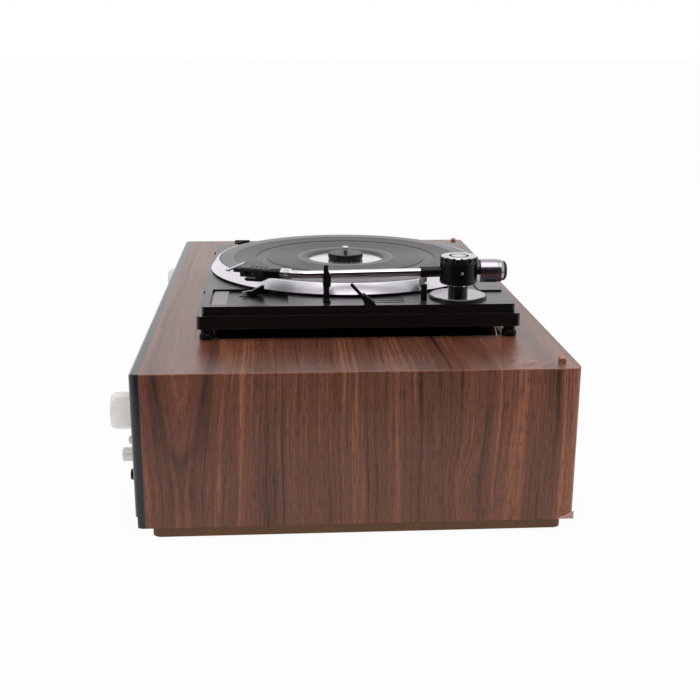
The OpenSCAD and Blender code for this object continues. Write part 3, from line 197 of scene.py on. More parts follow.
def calc(operation, *values):
    """A Math node's result."""
    return fed("ShaderNodeMath", dict(enumerate(values)), operation=operation).outputs[0]


def plus(first, second):
    """The sum of two values."""
    return calc("ADD", first, second)


def minus(first, second):
    """The first value less the second."""
    return calc("SUBTRACT", first, second)


def times(first, second):
    """The product of two values."""
    return calc("MULTIPLY", first, second)


def spread(value, low, high, to_low=0.0, to_high=1.0):
    """A value moved smoothly from one range to another."""
    inputs = {"Value": value, "From Min": low, "From Max": high, "To Min": to_low, "To Max": to_high}
    return fed("ShaderNodeMapRange", inputs, interpolation_type="SMOOTHSTEP").outputs[0]


def between(value, low, high):
    """A value between two others, led by a grain about one half."""
    return spread(value, *GRAIN_RANGE, low, high)


def blend(factor, first, second):
    """A Mix node's colour."""
    return fed("ShaderNodeMix", {0: factor, 6: first, 7: second}, data_type="RGBA").outputs[2]


def point(x, y, z=0.0):
    """A vector from three values."""
    return fed("ShaderNodeCombineXYZ", {0: x, 1: y, 2: z}).outputs[0]


def split(vector):
    """The three values of a vector."""
    return fed("ShaderNodeSeparateXYZ", {0: vector}).outputs


def off_axis(vector):
    """Distance from the local Z axis."""
    x, y, _ = split(vector)
    return calc("SQRT", plus(times(x, x), times(y, y)))


def clamp(value, limits):
    """A value held between two limits."""
    return fed("ShaderNodeClamp", {0: value, 1: limits[0], 2: limits[1]}).outputs[0]


def noise(vector, scale, detail=2.0):
    """A noise value about one half."""
    inputs = {"Vector": vector, "Scale": scale, "Detail": detail}
    return fed("ShaderNodeTexNoise", inputs).outputs[0]


def ramp(factor, stops):
    """A colour looked up along a ramp of (place, colour) stops."""
    made = fed("ShaderNodeValToRGB", {0: factor})
    line = made.color_ramp.elements
    for _ in stops[2:]:
        line.new(0.5)
    for element, (spot, tint) in zip(line, stops):
        element.position = spot
        element.color = (*tint, 1)
    return made.outputs[0]


def here(shader, centre=(0, 0, 0), turn=(0, 0, 0)):
    """Object coordinates of a shader's material, seen from a centre and a turn."""
    source = add(shader.id_data, "ShaderNodeTexCoord").outputs["Object"]
    inputs = {"Vector": source, "Location": centre, "Rotation": turn}
    return fed("ShaderNodeMapping", inputs, vector_type="TEXTURE").outputs[0]


def relief(shader, height, depth, strength):
    """Bump of a height map, depth in metres."""
    made = fed("ShaderNodeBump", {"Height": height, "Distance": depth, "Strength": strength})
    plug(shader.inputs["Normal"], made.outputs[0])


def feed(shader, **values):
    """Links sockets of a shader, or sets plain values on them."""
    for key, value in values.items():
        plug(shader.inputs[key.replace("_", " ")], value)


def start(name, **values):
    """A new material, and its shader with plain values set."""
    material = bpy.data.materials.new(name)
    material.use_nodes = True
    shader = material.node_tree.nodes["Principled BSDF"]
    feed(shader, **values)
    return material, shader


# Shared effects

VECTORS = ("Vector", "Low", "High")
CLOUD_SCALE = 14.0
RAGGED_SCALE = 160.0
DRIFT_SCALE = 18.0
SPECK_SCALE = 900.0
BRUSH_ALONG = 12.0
BRUSH_ACROSS = 1800.0


def group(name, output, wire, inputs):
    """A shader node group with named sockets, wired by a function that gives its output."""
    made = bpy.data.node_groups.new(name, "ShaderNodeTree")
    for label in inputs:
        kind = "NodeSocketVector" if label in VECTORS else "NodeSocketFloat"
        made.interface.new_socket(name=label, in_out="INPUT", socket_type=kind)
    made.interface.new_socket(name=output, in_out="OUTPUT", socket_type="NodeSocketFloat")
    source = made.nodes.new("NodeGroupInput").outputs
    sink = made.nodes.new("NodeGroupOutput").inputs
    plug(sink[output], wire(source))
    return made


def place(name, output, wire, **inputs):
    """Puts a group, built once, into a material with its own values and gives its output."""
    made = bpy.data.node_groups.get(name) or group(name, output, wire, inputs)
    return fed("ShaderNodeGroup", inputs, node_tree=made).outputs[output]


def wire_grain(source):
    """Fine grain: sharp noise plus a slow cloud."""
    fine = noise(source["Vector"], source["Scale"], 3)
    cloud = noise(source["Vector"], CLOUD_SCALE)
    return plus(times(fine, 0.7), times(cloud, 0.3))


def grain(vector, scale):
    """The fine grain in a material."""
    return place("Fine grain", "Grain", wire_grain, Vector=vector, Scale=scale)


def wire_rings(source):
    """Turned lines: a wave of the distance from the local Z axis, made uneven by noise."""
    turns = calc("DIVIDE", off_axis(source["Vector"]), source["Pitch"])
    wave = calc("SINE", times(turns, 2 * math.pi))
    uneven = noise(point(turns, 0.0), 1.7)
    return calc("MULTIPLY_ADD", wave, 0.25, uneven)


def rings(vector, pitch):
    """The turned lines in a material, their pitch in metres."""
    return place("Turned lines", "Rings", wire_rings, Vector=vector, Pitch=pitch)


def wire_wear(source):
    """Paler line along edges, worn and on the vinyl also a painted highlight: the middle one of a point's
    distances to a box's faces is its distance to an edge.
    """
    gaps = []
    for at, low, high in zip(*(split(source[key]) for key in VECTORS)):
        inside = calc("MINIMUM", minus(at, low), minus(high, at))
        gaps.append(calc("ABSOLUTE", inside))
    near = calc("MINIMUM", gaps[0], gaps[1])
    far = calc("MINIMUM", calc("MAXIMUM", gaps[0], gaps[1]), gaps[2])
    edge = calc("MAXIMUM", near, far)
    ragged = times(source["Width"], noise(source["Vector"], RAGGED_SCALE, 3))
    return spread(calc("DIVIDE", edge, ragged), 2.2, 1.4)


def wear(vector, low, high, width):
    """The paler edge line of a box in a material: worn, and on the vinyl also a painted highlight."""
    return place("Edge wear", "Wear and highlight", wire_wear, Vector=vector, Low=low, High=high, Width=width)


def wire_dust(source):
    """Dust: faces that look up, broken by two noises."""
    up = split(add(source["Vector"].id_data, "ShaderNodeNewGeometry").outputs["Normal"])[2]
    cloud = spread(noise(source["Vector"], DRIFT_SCALE, 3), 0.35, 0.75)
    specks = spread(noise(source["Vector"], SPECK_SCALE, 1), 0.62, 0.75)
    lying = times(plus(times(cloud, 0.5), specks), source["Amount"])
    return times(spread(up, 0.5, 1.0), lying)


def dust(vector, amount):
    """The settled dust in a material."""
    return place("Settled dust", "Dust", wire_dust, Vector=vector, Amount=amount)


def wire_brush(source):
    """Brush lines: noise drawn out along the local X axis."""
    x, y, z = split(source["Vector"])
    return noise(point(times(x, BRUSH_ALONG), times(y, BRUSH_ACROSS), times(z, BRUSH_ACROSS)), 1.0)


def brush(vector):
    """The brush lines in a material."""
    return place("Brush lines", "Brush", wire_brush, Vector=vector)


# Finishes

DUST_TINT = linear(150, 146, 140)
RUBBED_WIDTH = 0.7 * MM
RING_RANGE = (0.2, 0.9)
QUARTER = math.pi / 2
BLACK = (0, 0, 0)
WHITE = (1, 1, 1)


def shade(tint, factor):
    """A colour made darker or paler."""
    return tuple(min(1.0, c * factor) for c in tint)


def moulded(name, tint, rough=0.42, scale=1500.0, depth=0.04, dusty=0.06, box=None, gloss=0.22,
            coat=0.0):
    """Moulded plastic: fine leather grain, slow change of gloss, dust, and worn edges of a box."""
    material, shader = start(name, Specular_IOR_Level=gloss, Coat_Weight=coat, Coat_Roughness=0.25)
    vector = here(shader)
    grit = grain(vector, scale)
    body = blend(grit, shade(tint, 0.7), shade(tint, 1.3))
    if box:
        rubbed_and_lit = wear(vector, box[0], box[1], RUBBED_WIDTH)
        body = blend(times(rubbed_and_lit, 0.35), body, shade(tint, 6))
    body = blend(dust(vector, dusty), body, DUST_TINT)
    feed(shader, Base_Color=body, Roughness=between(grit, rough - 0.06, rough + 0.08))
    relief(shader, grit, depth * MM, 0.5)
    return material


def plated(name, tint, rough):
    """Bright plated metal: clear reflections with faint smears."""
    material, shader = start(name, Metallic=1.0)
    smear = grain(here(shader), 60.0)
    feed(shader, Base_Color=blend(smear, shade(tint, 0.92), tint),
         Roughness=spread(smear, 0.35, 0.7, rough, rough + 0.1))
    return material


def turned(name, tint, rough, centre, turn=(0, 0, 0), pitch=0.5, depth=0.01, metal=1.0):
    """Metal turned on a lathe: fine rings about an axis in its gloss and relief."""
    material, shader = start(name, Metallic=metal)
    lines = rings(here(shader, centre, turn), pitch * MM)
    feed(shader, Base_Color=blend(lines, shade(tint, 0.9), tint),
         Roughness=spread(lines, *RING_RANGE, rough, rough + 0.12))
    relief(shader, lines, depth * MM, 0.4)
    return material


def brushed(name, tint, rough=0.32, turn=(0, 0, 0), metal=1.0):
    """Brushed metal sheet: lines along one way in its colour, gloss and relief."""
    material, shader = start(name, Metallic=metal)
    lines = brush(here(shader, turn=turn))
    feed(shader, Base_Color=blend(lines, shade(tint, 0.82), tint),
         Roughness=between(lines, rough, rough + 0.14))
    relief(shader, lines, 0.01 * MM, 0.4)
    return material


def banded(name, tint, top_tint, height, top_rough):
    """Black plastic that turns to plated metal above a height. On the base disc the black side is a
    painted dark reflection and shade.
    """
    material, shader = start(name)
    vector = here(shader)
    grit = grain(vector, 700.0)
    above = calc("GREATER_THAN", split(vector)[2], height)
    plain = blend(grit, shade(tint, 0.7), shade(tint, 1.3))
    gloss = times(between(grit, top_rough, top_rough + 0.08), above)
    dull = times(between(grit, 0.3, 0.4), minus(1.0, above))
    feed(shader, Base_Color=blend(above, plain, top_tint), Metallic=above, Roughness=plus(gloss, dull))
    return material


def fibreboard(name, tint):
    """Pressed board: short fibres of light and dark."""
    material, shader = start(name)
    fibre = grain(here(shader), 420.0)
    body = ramp(fibre, [(0.3, shade(tint, 0.6)), (0.5, tint), (0.72, shade(tint, 1.5))])
    feed(shader, Base_Color=body, Roughness=between(fibre, 0.55, 0.75))
    relief(shader, fibre, 0.08 * MM, 0.5)
    return material


# Walnut vinyl, with places across and along the grain in metres

SWAY = 0.016
SWAY_SCALE = (9.0, 5.0)
HEART = (-0.157, 0.3175)
HEART_REACH = (-0.05, 0.105)
HEART_SLOPE = 0.11
HEART_CLOSE = (0.062, 0.098)
CLOSE_SLOPE = 0.55
HEART_RING = 0.0225
HEART_LINE = 0.005
HEART_TIP = 0.004
HEART_WIDTH = 0.035
KNOT = (0.089, 0.424)
KNOT_SIZE = (0.011, 0.024)
KNOT_BULGE = 0.008
PORE_SCALE = (1000.0, 90.0)


def stretched(across, along, scale):
    """A point on the vinyl with its own scale across and along the grain."""
    return point(times(across, scale[0]), times(along, scale[1]))


def knot_bulge(across, along):
    """How far the knot pushes the streaks out: a bell over an oval."""
    squares = [calc("POWER", calc("DIVIDE", minus(at, middle), size), 2.0)
               for at, middle, size in zip((across, along), KNOT, KNOT_SIZE)]
    return times(calc("EXPONENT", times(plus(*squares), -1.0)), KNOT_BULGE)


def grain_lines(vector, top):
    """Places on the sheet of vinyl, folded down over both sides: across the grain, along it, and rings.

    Along the grain is X on the top and goes on down the sides. Near a heart by the front edge the growth
    rings run together slowly and then close into a point, further off they run straight. The last value
    is what the streaks follow: it closes less, and bulges round a knot near the back.
    """
    x, across, z = split(vector)
    along = plus(x, times(calc("SIGN", x), minus(top, z)))
    sway = noise(stretched(across, along, SWAY_SCALE), 1.0, 1)
    side = minus(calc("MULTIPLY_ADD", sway, SWAY, across), HEART[0] + SWAY / 2)
    ahead = minus(along, HEART[1])
    closing = minus(clamp(ahead, HEART_CLOSE), HEART_CLOSE[0])
    square = times(side, side)
    near = calc("EXPONENT", calc("DIVIDE", square, -HEART_WIDTH ** 2))
    slope = times(clamp(ahead, HEART_REACH), HEART_SLOPE)
    plain = calc("SQRT", plus(square, HEART_TIP ** 2))
    flow = calc("MULTIPLY_ADD", slope, near, plain)
    ring = calc("MULTIPLY_ADD", times(closing, CLOSE_SLOPE), near, flow)
    return across, along, ring, plus(flow, knot_bulge(across, along))


def streaks(flow, along, fine, slow, detail):
    """Noise that runs along the growth rings."""
    drawn = point(times(flow, fine), times(along, slow), fine * 0.01)
    return noise(drawn, 1.0, detail)


def heart_line(body, ring, at):
    """The heart of the figure: a calm middle inside a soft dark line along one growth ring."""
    off = calc("DIVIDE", minus(ring, HEART_RING), HEART_LINE)
    inside = spread(off, 0.0, -2.0, 0.0, 0.55)
    body = blend(inside, body, shade(at.wood_mid, 1.05))
    line = calc("EXPONENT", times(times(off, off), -1.0))
    return blend(times(line, 0.42), body, at.wood_dark)


def walnut(at):
    """Walnut-grain vinyl: streaks along growth rings, a heart, pores, worn edges that also carry a
    painted highlight, and dust.
    """
    material, shader = start("walnut_vinyl", Specular_IOR_Level=0.25, Coat_Weight=0.4, Coat_Roughness=0.3)
    vector = here(shader)
    low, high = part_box("top_panel")
    across, along, ring, flow = grain_lines(vector, high[2])
    broad = streaks(flow, along, fine=62.0, slow=2.0, detail=1)
    narrow = streaks(flow, along, fine=300.0, slow=4.0, detail=3)
    thread = streaks(flow, along, fine=1000.0, slow=20.0, detail=3)
    figure = plus(times(broad, 0.36), times(narrow, 0.36))
    figure = calc("MULTIPLY_ADD", thread, 0.28, figure)
    body = ramp(figure, [(0.355, at.wood_dark), (0.445, shade(at.wood_mid, 0.78)),
                         (0.52, at.wood_mid), (0.635, at.wood_light)])
    body = heart_line(body, ring, at)
    pores = spread(noise(stretched(across, along, PORE_SCALE), 1.0, 1), 0.5, 0.66)
    body = blend(times(pores, 0.4), body, shade(at.wood_dark, 0.7))
    # A box that goes on past the ends and below has only the two side edges of the top. The paler line
    # along them is worn vinyl and a painted highlight on the edge.
    rubbed_and_lit = wear(vector, (low[0], low[1] * 2, -high[2]), (high[0], high[1] * 2, high[2]), at.wear_width)
    body = blend(times(rubbed_and_lit, 0.5), body, at.wood_worn)
    body = blend(dust(vector, 0.05), body, DUST_TINT)
    feed(shader, Base_Color=body, Roughness=between(narrow, 0.3, 0.42))
    relief(shader, minus(1.0, pores), 0.05 * MM, 0.35)
    return material


# Shapes

SHARP = math.radians(35)


def lattice(grid, wrap=False, caps=False):
    """Points and faces of a grid, closed round its columns and capped at both ends if asked."""
    rows, columns = grid.shape[:2]
    numbers = np.arange(rows * columns).reshape(rows, columns)
    if wrap:
        numbers = np.concatenate((numbers, numbers[:, :1]), axis=1)
    quads = np.stack((numbers[:-1, :-1], numbers[:-1, 1:], numbers[1:, 1:], numbers[1:, :-1]), axis=-1)
    faces = quads.reshape(-1, 4).tolist()
    if caps:
        faces.append(numbers[0, :columns][::-1].tolist())
        faces.append(numbers[-1, :columns].tolist())
    return grid.reshape(-1, 3), faces


def aimed(points, centre, axis):
    """Points turned from the local Z axis to another axis and moved to a centre, in metres."""
    turn = Vector((0, 0, 1)).rotation_difference(Vector(axis)).to_matrix()
    return points @ np.array(turn).T + np.array(centre)


def circle(count):
    """Angles of so many points round a circle."""
    return np.linspace(0, 2 * math.pi, count, endpoint=False)


def revolved(profile, centre, segments):
    """A closed profile of (radius, height) carried round an upright axis through a centre."""
    profile = np.concatenate((profile, profile[:1]))
    angle = circle(segments)
    radius, height = profile[:, :1], profile[:, 1:]
    grid = np.stack((radius * np.cos(angle), radius * np.sin(angle), height + 0 * angle), axis=-1)
    points, faces = lattice(grid, wrap=True)
    return points + np.array(centre), faces


def slotted_head(centre, axis, radius, height, slot):
    """A domed screw head: height falls with the square of the radius, and dips along a straight slot."""
    angle = circle(48)
    out = np.concatenate((np.linspace(0.04, 1, 14), (1.0,)))[:, None] * radius
    top = height * (1 - 0.4 * (out / radius) ** 2) + 0 * angle
    dip = np.clip((slot - np.abs(out * np.sin(angle))) / (0.3 * slot), 0, 1)
    top = top - dip * height * 0.45
    top[-1] = 0
    grid = np.stack((out * np.cos(angle), out * np.sin(angle), top), axis=-1)
    points, faces = lattice(grid, wrap=True, caps=True)
    return aimed(points, centre, axis), faces


def bars(centres, sizes):
    """Small oblong blocks: each corner is its centre plus half its size times a sign on each axis."""
    signs = np.array([(x, y, z) for x in (-1, 1) for y in (-1, 1) for z in (-1, 1)]) / 2
    points = (np.array(centres)[:, None] + signs * np.array(sizes)[:, None]).reshape(-1, 3)
    sides = np.array([(0, 1, 3, 2), (4, 6, 7, 5), (0, 4, 5, 1), (2, 3, 7, 6), (0, 2, 6, 4),
                      (1, 5, 7, 3)])
    faces = (np.arange(len(centres))[:, None, None] * 8 + sides).reshape(-1, 4)
    return points, faces.tolist()


def joined(shapes):
    """Several shapes as one list of points and faces."""
    points, faces, count = [], [], 0
    for shape_points, shape_faces in shapes:
        points.append(shape_points)
        faces += [[count + i for i in face] for face in shape_faces]
        count += len(shape_points)
    return np.concatenate(points), faces


def volume(points, faces):
    """Signed volume: the sum over fans of triangles of their corners' triple product."""
    fans = [(f[0], f[i], f[i + 1]) for f in faces for i in range(1, len(f) - 1)]
    corners = points[np.array(fans)]
    return np.einsum("ij,ij->", corners[:, 0], np.cross(corners[:, 1], corners[:, 2])) / 6


def shown(name, data):
    """A new object in the scene."""
    made = bpy.data.objects.new(name, data)
    bpy.context.scene.collection.objects.link(made)
    return made


def surface(name, points, faces, material):
    """A new mesh object with one material."""
    mesh = bpy.data.meshes.new(name)
    mesh.from_pydata(np.array(points).tolist(), [], faces)
    mesh.materials.append(material)
    return shown(name, mesh)


def piece(name, shapes, material, body, closed=True):
    """One new piece of the object, riding on a body, its faces turned outwards."""
    points, faces = joined(shapes)
    if closed and volume(points - points.mean(axis=0), faces) < 0:
        faces = [face[::-1] for face in faces]
    made = surface(name, points, faces, material)
    made.data.polygons.foreach_set("use_smooth", np.ones(len(faces), bool))
    made.data.set_sharp_from_angle(angle=SHARP)
    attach(made, body)
    return made


def dress(material, *names):
    """Gives a material to CAD nodes."""
    for name in names:
        slots = NODES[name].data.materials
        slots.clear()
        slots.append(material)


def looks():
    """The values that a user may change."""
    return bpy.context.scene.stereo


def centre_of(box):
    """Centre of a box given by two corners."""
    return tuple((np.array(box[0]) + np.array(box[1])) / 2)


# Cabinet, with the patch of ripples in millimetres

PEG = (0.299, 0.1765, 0)
RIPPLE_AT = (288, 131)
RIPPLE_SIZE = (22, 40)
RIPPLE_LEAN = (5, -4)
RIPPLE_SINK = 0.06 * MM
PEEL = (16 * MM, 7.5 * MM)
PEEL_GAP = (0.05 * MM, 0.1 * MM)
VENT_CARD = (0.15, 0.054)
VENT_HEIGHT = 84 * MM
VENT_BOW = 1.5 * MM
VENT_GAP = 0.2 * MM
SCREW = {"radius": 3.6 * MM, "height": 1.8 * MM, "slot": 0.5 * MM}
SCREW_INSET = (14 * MM, 8 * MM)


def unit_grid(rows, columns):
    """Two parameters from 0 to 1 over a grid."""
    return np.meshgrid(np.linspace(0, 1, rows), np.linspace(0, 1, columns), indexing="ij")


def ripple_sheet(top, height):
    """Lifted vinyl: ridges of a sine cubed on a leaning patch, fading into the top at its rim."""
    run, over = unit_grid(60, 30)
    fade = np.sin(math.pi * run) * np.sin(math.pi * over)
    ridge = np.abs(np.sin(2.5 * math.pi * run + 2.2 * over)) ** 3
    x = (RIPPLE_AT[0] + RIPPLE_SIZE[0] * over + RIPPLE_LEAN[0] * run) * MM
    y = (RIPPLE_AT[1] + RIPPLE_SIZE[1] * run + RIPPLE_LEAN[1] * over) * MM
    z = top + height * ridge * fade - RIPPLE_SINK
    return lattice(np.stack((x, y, z), axis=-1))


def peeled_sheet(side, back, low, lift):
    """A three-cornered flap at the lower back, curling out by the square of the way to its tip."""
    run, over = unit_grid(20, 20)
    x = side + PEEL_GAP[0] + lift * (run * over) ** 2
    y = back + PEEL[0] * (run - 1)
    z = low + PEEL_GAP[1] + PEEL[1] * over * run
    return lattice(np.stack((x, y, z), axis=-1))


def vent_card(x, y, z):
    """A thin card behind a group of vents: an oblong that bows inwards by a sine across its width."""
    run, over = unit_grid(24, 8)
    bow = VENT_BOW * np.sin(math.pi * run)
    wide, tall = VENT_CARD
    return lattice(np.stack((x + wide * (run - 0.5), y - bow, z + tall * (over - 0.5)), axis=-1))


def thin_piece(name, shapes, material, thick, offset=-1):
    """A piece of open sheets on the cabinet, with a wall of so many millimetres."""
    made = piece(name, shapes, material, "cabinet", closed=False)
    wall = made.modifiers.new("thickness", "SOLIDIFY")
    wall.thickness = thick * MM
    wall.offset = offset


class STEREO_OT_cabinet(bpy.types.Operator):
    """Walnut vinyl, boards, pegs and the small worn marks on the cabinet"""
    bl_idname = "stereo.cabinet"
    bl_label = "Cabinet"

    def execute(self, context):
        at = looks().cabinet
        vinyl = walnut(at)
        dress(vinyl, "top_panel", "left_side_panel", "right_side_panel")
        dress(fibreboard("base_board_fibre", at.board), "base_board")
        dress(fibreboard("hardboard", at.hardboard), "rear_panel")
        dress(turned("peg_copper", at.copper, 0.24, PEG, metal=0.6), "cover_screws")
        dress(moulded("gland_black", looks().front.bezel), "cord_gland")
        dress(plated("jack_nickel", linear(196, 190, 176), 0.2), "phono_jacks")
        self.vinyl_marks(at, vinyl)
        self.rear_pieces()
        return {"FINISHED"}

    def vinyl_marks(self, at, vinyl):
        """Lifted vinyl on the top and a peeled corner at the lower back."""
        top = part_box("top_panel")[1][2]
        low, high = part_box("right_side_panel")
        thin_piece("vinyl_ripples", [ripple_sheet(top, at.ripple_height)], vinyl, 0.12)
        backing = fibreboard("vinyl_backing", at.backing)
        flap = peeled_sheet(high[0], high[1], low[2], at.peel_lift)
        thin_piece("peeled_corner", [flap], backing, 0.2)

    def rear_pieces(self):
        """Cards behind the vents, and the screws that hold the rear board."""
        low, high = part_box("rear_panel")
        card = fibreboard("vent_card_black", linear(22, 20, 19))
        inner = low[1] - VENT_GAP
        sheets = [vent_card(side * high[0] / 2, inner, low[2] + VENT_HEIGHT) for side in (-1, 1)]
        thin_piece("vent_cards", sheets, card, 0.4, 0)
        steel = plated("screw_steel", linear(150, 148, 142), 0.25)
        end, edge = SCREW_INSET
        heads = [slotted_head((x, high[1], z), (0, 1, 0), **SCREW)
                 for x in np.linspace(low[0] + end, high[0] - end, 5)
                 for z in (low[2] + edge, high[2] - edge)]
        piece("rear_screws", heads, steel, "cabinet")


# Front

KNOB_CAP = (0.9 * MM, 0.6 * MM)
DIAL_HALF = 0.18
DIAL_STEPS = 60
DIAL_GAP = 5 * MM
NUMBER_GAP = 11.2 * MM
DIAL_DROP = 1.5 * MM
PRINT_THICK = 0.1 * MM
TICK_WIDTH = 0.5 * MM
LINE_WIDTH = 0.4 * MM
UPPER_ENDS = (88, 108)
LOWER_NUMBERS = (53, 60, 70, 85, 100, 130, 160)
FONT_SCALE = 1.35


class STEREO_OT_front(bpy.types.Operator):
    """Bezel, face, dial with its print, knobs and buttons"""
    bl_idname = "stereo.front"
    bl_label = "Front"

    def execute(self, context):
        at = looks().front
        dress(moulded("bezel_black", at.bezel, rough=0.34, scale=1300.0, depth=0.012,
                      box=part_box("front_bezel"), gloss=0.15, coat=0.65), "front_bezel")
        dress(brushed("face_brushed", at.face), "face_plate")
        dial = moulded("dial_black", linear(12, 12, 14), rough=0.5, scale=600.0, depth=0.004, dusty=0.0)
        dress(dial, "dial_scale")
        dress(moulded("pointer_red", at.pointer, rough=0.4), "dial_pointer")
        dress(self.glass(), "dial_glass")
        NODES["dial_glass"].visible_shadow = False
        for name in ("tuning", "selector", "volume", "balance", "bass", "treble"):
            dress(self.knob_finish(at, name + "_knob"), name + "_knob")
        for name in ("power_button", "mono_button"):
            dress(brushed(name + "_satin", at.knob, 0.34, (0, 0, QUARTER), metal=0.1), name)
        dress(moulded("socket_black", linear(16, 16, 17), rough=0.3), "headphone_jack")
        self.dial_print(at)
        return {"FINISHED"}

    def knob_finish(self, at, name):
        """Pale satin sides, and a spun metal cap on the face with rings about the knob's axis."""
        material, shader = start(name + "_satin")
        low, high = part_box(name)
        centre = ((low[0] + high[0]) / 2, low[1], (low[2] + high[2]) / 2)
        lines = rings(here(shader, centre, (QUARTER, 0, 0)), 0.6 * MM)
        face = spread(split(here(shader, centre))[1], *KNOB_CAP)
        tint = blend(face, at.knob, shade(at.knob, 0.72))
        feed(shader, Base_Color=blend(times(lines, 0.12), tint, BLACK),
             Metallic=calc("MULTIPLY_ADD", face, 0.85, 0.1),
             Roughness=spread(lines, *RING_RANGE, 0.3, 0.42))
        relief(shader, lines, 0.01 * MM, 0.4)
        return material

    def glass(self):
        """Clear glass with a faint film that changes its gloss."""
        material, shader = start("dial_glass_smoked", Transmission_Weight=1.0, IOR=1.5)
        film = grain(here(shader), 40.0)
        feed(shader, Base_Color=blend(film, linear(218, 226, 222), linear(230, 236, 232)),
             Roughness=between(film, 0.01, 0.05))
        return material

    def dial_print(self, at):
        """Two rows of ticks and plain numbers on the dial, as thin raised print."""
        ink = moulded("dial_ink", at.ink, rough=0.5, scale=900.0, depth=0.01, dusty=0.0)
        low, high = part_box("dial_scale")
        spot = ((low[0] + high[0]) / 2, low[1] - PRINT_THICK / 2, (low[2] + high[2]) / 2 - DIAL_DROP)
        xs = spot[0] + np.linspace(-DIAL_HALF, DIAL_HALF, DIAL_STEPS + 1)
        piece("dial_ticks", self.ticks(at, xs, *spot), ink, "cabinet")
        piece("dial_numbers", self.numbers(at, xs[::10], *spot[1:]), ink, "cabinet")

    def ticks(self, at, xs, middle, face, base):
        """Ticks over and under a gap, longer at each fifth and tenth, and a line on both sides of it."""
        step = np.arange(len(xs))
        tall = np.where(step % 10 == 0, 1, np.where(step % 5 == 0, 0.7, 0.45)) * at.tick
        shapes = []
        for side in (-1, 1):
            centres = np.stack((xs, face + 0 * xs, base + side * (DIAL_GAP + tall / 2)), axis=-1)
            sizes = np.stack((TICK_WIDTH + 0 * xs, PRINT_THICK + 0 * xs, tall), axis=-1)
            shapes.append(bars(centres, sizes))
        lines = [(middle, face, base + side * DIAL_GAP) for side in (-1, 1)]
        shapes.append(bars(lines, [(2 * DIAL_HALF + 2 * MM, PRINT_THICK, LINE_WIDTH)] * 2))
        return shapes

    def numbers(self, at, xs, face, base):
        """Even numbers between two ends over the upper ticks, and a plain row under the lower ones."""
        upper = [2 * round(value / 2) for value in np.linspace(*UPPER_ENDS, len(xs))]
        rows = ((upper, base + NUMBER_GAP), (LOWER_NUMBERS, base - NUMBER_GAP - at.figure))
        return [self.number(str(value), x, face, z, at.figure)
                for values, z in rows for value, x in zip(values, xs)]

    def number(self, word, x, y, z, height):
        """A plain number as a mesh, upright on the dial and centred on its tick."""
        curve = bpy.data.curves.new("figure", "FONT")
        curve.body = word
        curve.size = height * FONT_SCALE
        curve.align_x = "CENTER"
        curve.extrude = PRINT_THICK / 2
        curve.resolution_u = 3
        letter = shown("figure", curve)
        bpy.context.view_layer.update()
        mesh = letter.to_mesh()
        flat = np.empty(len(mesh.vertices) * 3)
        mesh.vertices.foreach_get("co", flat)
        flat = flat.reshape(-1, 3)
        faces = [list(p.vertices) for p in mesh.polygons]
        letter.to_mesh_clear()
        bpy.data.objects.remove(letter)
        bpy.data.curves.remove(curve)
        return np.stack((x + flat[:, 0], y - flat[:, 2], z + flat[:, 1]), axis=-1), faces


# Deck, with the places and sizes of the strip in millimetres

STRIP_TOP = (208.3, 133.4, 163.1)
STRIP_HALF = (1.7, 0.45)
STRIP_DROP = 11.15
STRIP_LEAN = 3.0
STRIP_BOW = 0.35


def squared(wave):
    """A sine or cosine pressed towards a square wave, which makes a circle a rounded oblong."""
    return np.sign(wave) * np.abs(wave) ** 0.4


def transit_strip():
    """A thin leaning strip between deck and cabinet top: a rounded oblong carried along a bowed path."""
    run = np.linspace(0, 1, 24)[:, None]
    angle = circle(16)
    x = STRIP_TOP[0] + STRIP_HALF[0] * squared(np.sin(angle)) + 0 * run
    path = STRIP_TOP[1] + STRIP_LEAN * run + STRIP_BOW * np.sin(math.pi * run)
    y = path + STRIP_HALF[1] * squared(np.cos(angle))
    z = STRIP_TOP[2] - STRIP_DROP * run + 0 * angle
    return lattice(np.stack((x, y, z), axis=-1) * MM, wrap=True, caps=True)


class STEREO_OT_deck(bpy.types.Operator):
    """Mouldings, feet, plate and levers of the record deck"""
    bl_idname = "stereo.deck"
    bl_label = "Record deck"

    def execute(self, context):
        at = looks().deck
        for name, finish in (("deck_plate", "deck_top_black"), ("deck_base", "deck_tray_black")):
            dress(moulded(finish, at.plastic, rough=0.34, scale=1400.0, depth=0.012, dusty=0.1,
                          box=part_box(name), gloss=0.2, coat=0.5), name)
        dress(moulded("foot_rubber", linear(14, 14, 14), rough=0.3), "deck_feet")
        dress(brushed("plate_grey", at.plate, 0.36, (0, 0, 0.4)), "control_plate")
        lever = moulded("lever_black", linear(18, 18, 19), rough=0.28)
        dress(lever, "lever_grip", "speed_lever", "cue_lever", "arm_rest")
        dress(plated("lever_steel", linear(216, 213, 206), 0.36), "control_lever")
        dress(moulded("cue_black", linear(10, 10, 11), gloss=0.14), "cue_platform")
        # The strip's pale colour is a painted reflection: it stands in for a metal strip catching the
        # floor's light
        strip = moulded("strip_painted_bright", linear(206, 203, 196), rough=0.36, scale=900.0, depth=0.01,
                        dusty=0.0, gloss=0.5)
        piece("transit_strip", [transit_strip()], strip, "cabinet")
        return {"FINISHED"}


# Platter, with the section of the mat in millimetres

BAND_TOP = 3
RIB_TOP = 2.7
STEP_TOP = 2.8
TROUGH_FLOOR = 1.7
MAT_FOOT = 0.05
RAISED = (2.75 * MM, 2.95 * MM)
SUNK = (2.1 * MM, 1.8 * MM)


def ribs(at, inner, outer, top):
    """Ribs of the mat as (radius, height): a cosine that starts and ends at the top."""
    count = round((outer - inner) / (at.rib_pitch / MM))
    radius = np.linspace(inner, outer, count * 6 + 1)
    wave = 0.5 - 0.5 * np.cos(2 * math.pi * count * (radius - inner) / (outer - inner))
    return np.stack((radius, top - wave * at.rib_depth / MM), axis=-1)


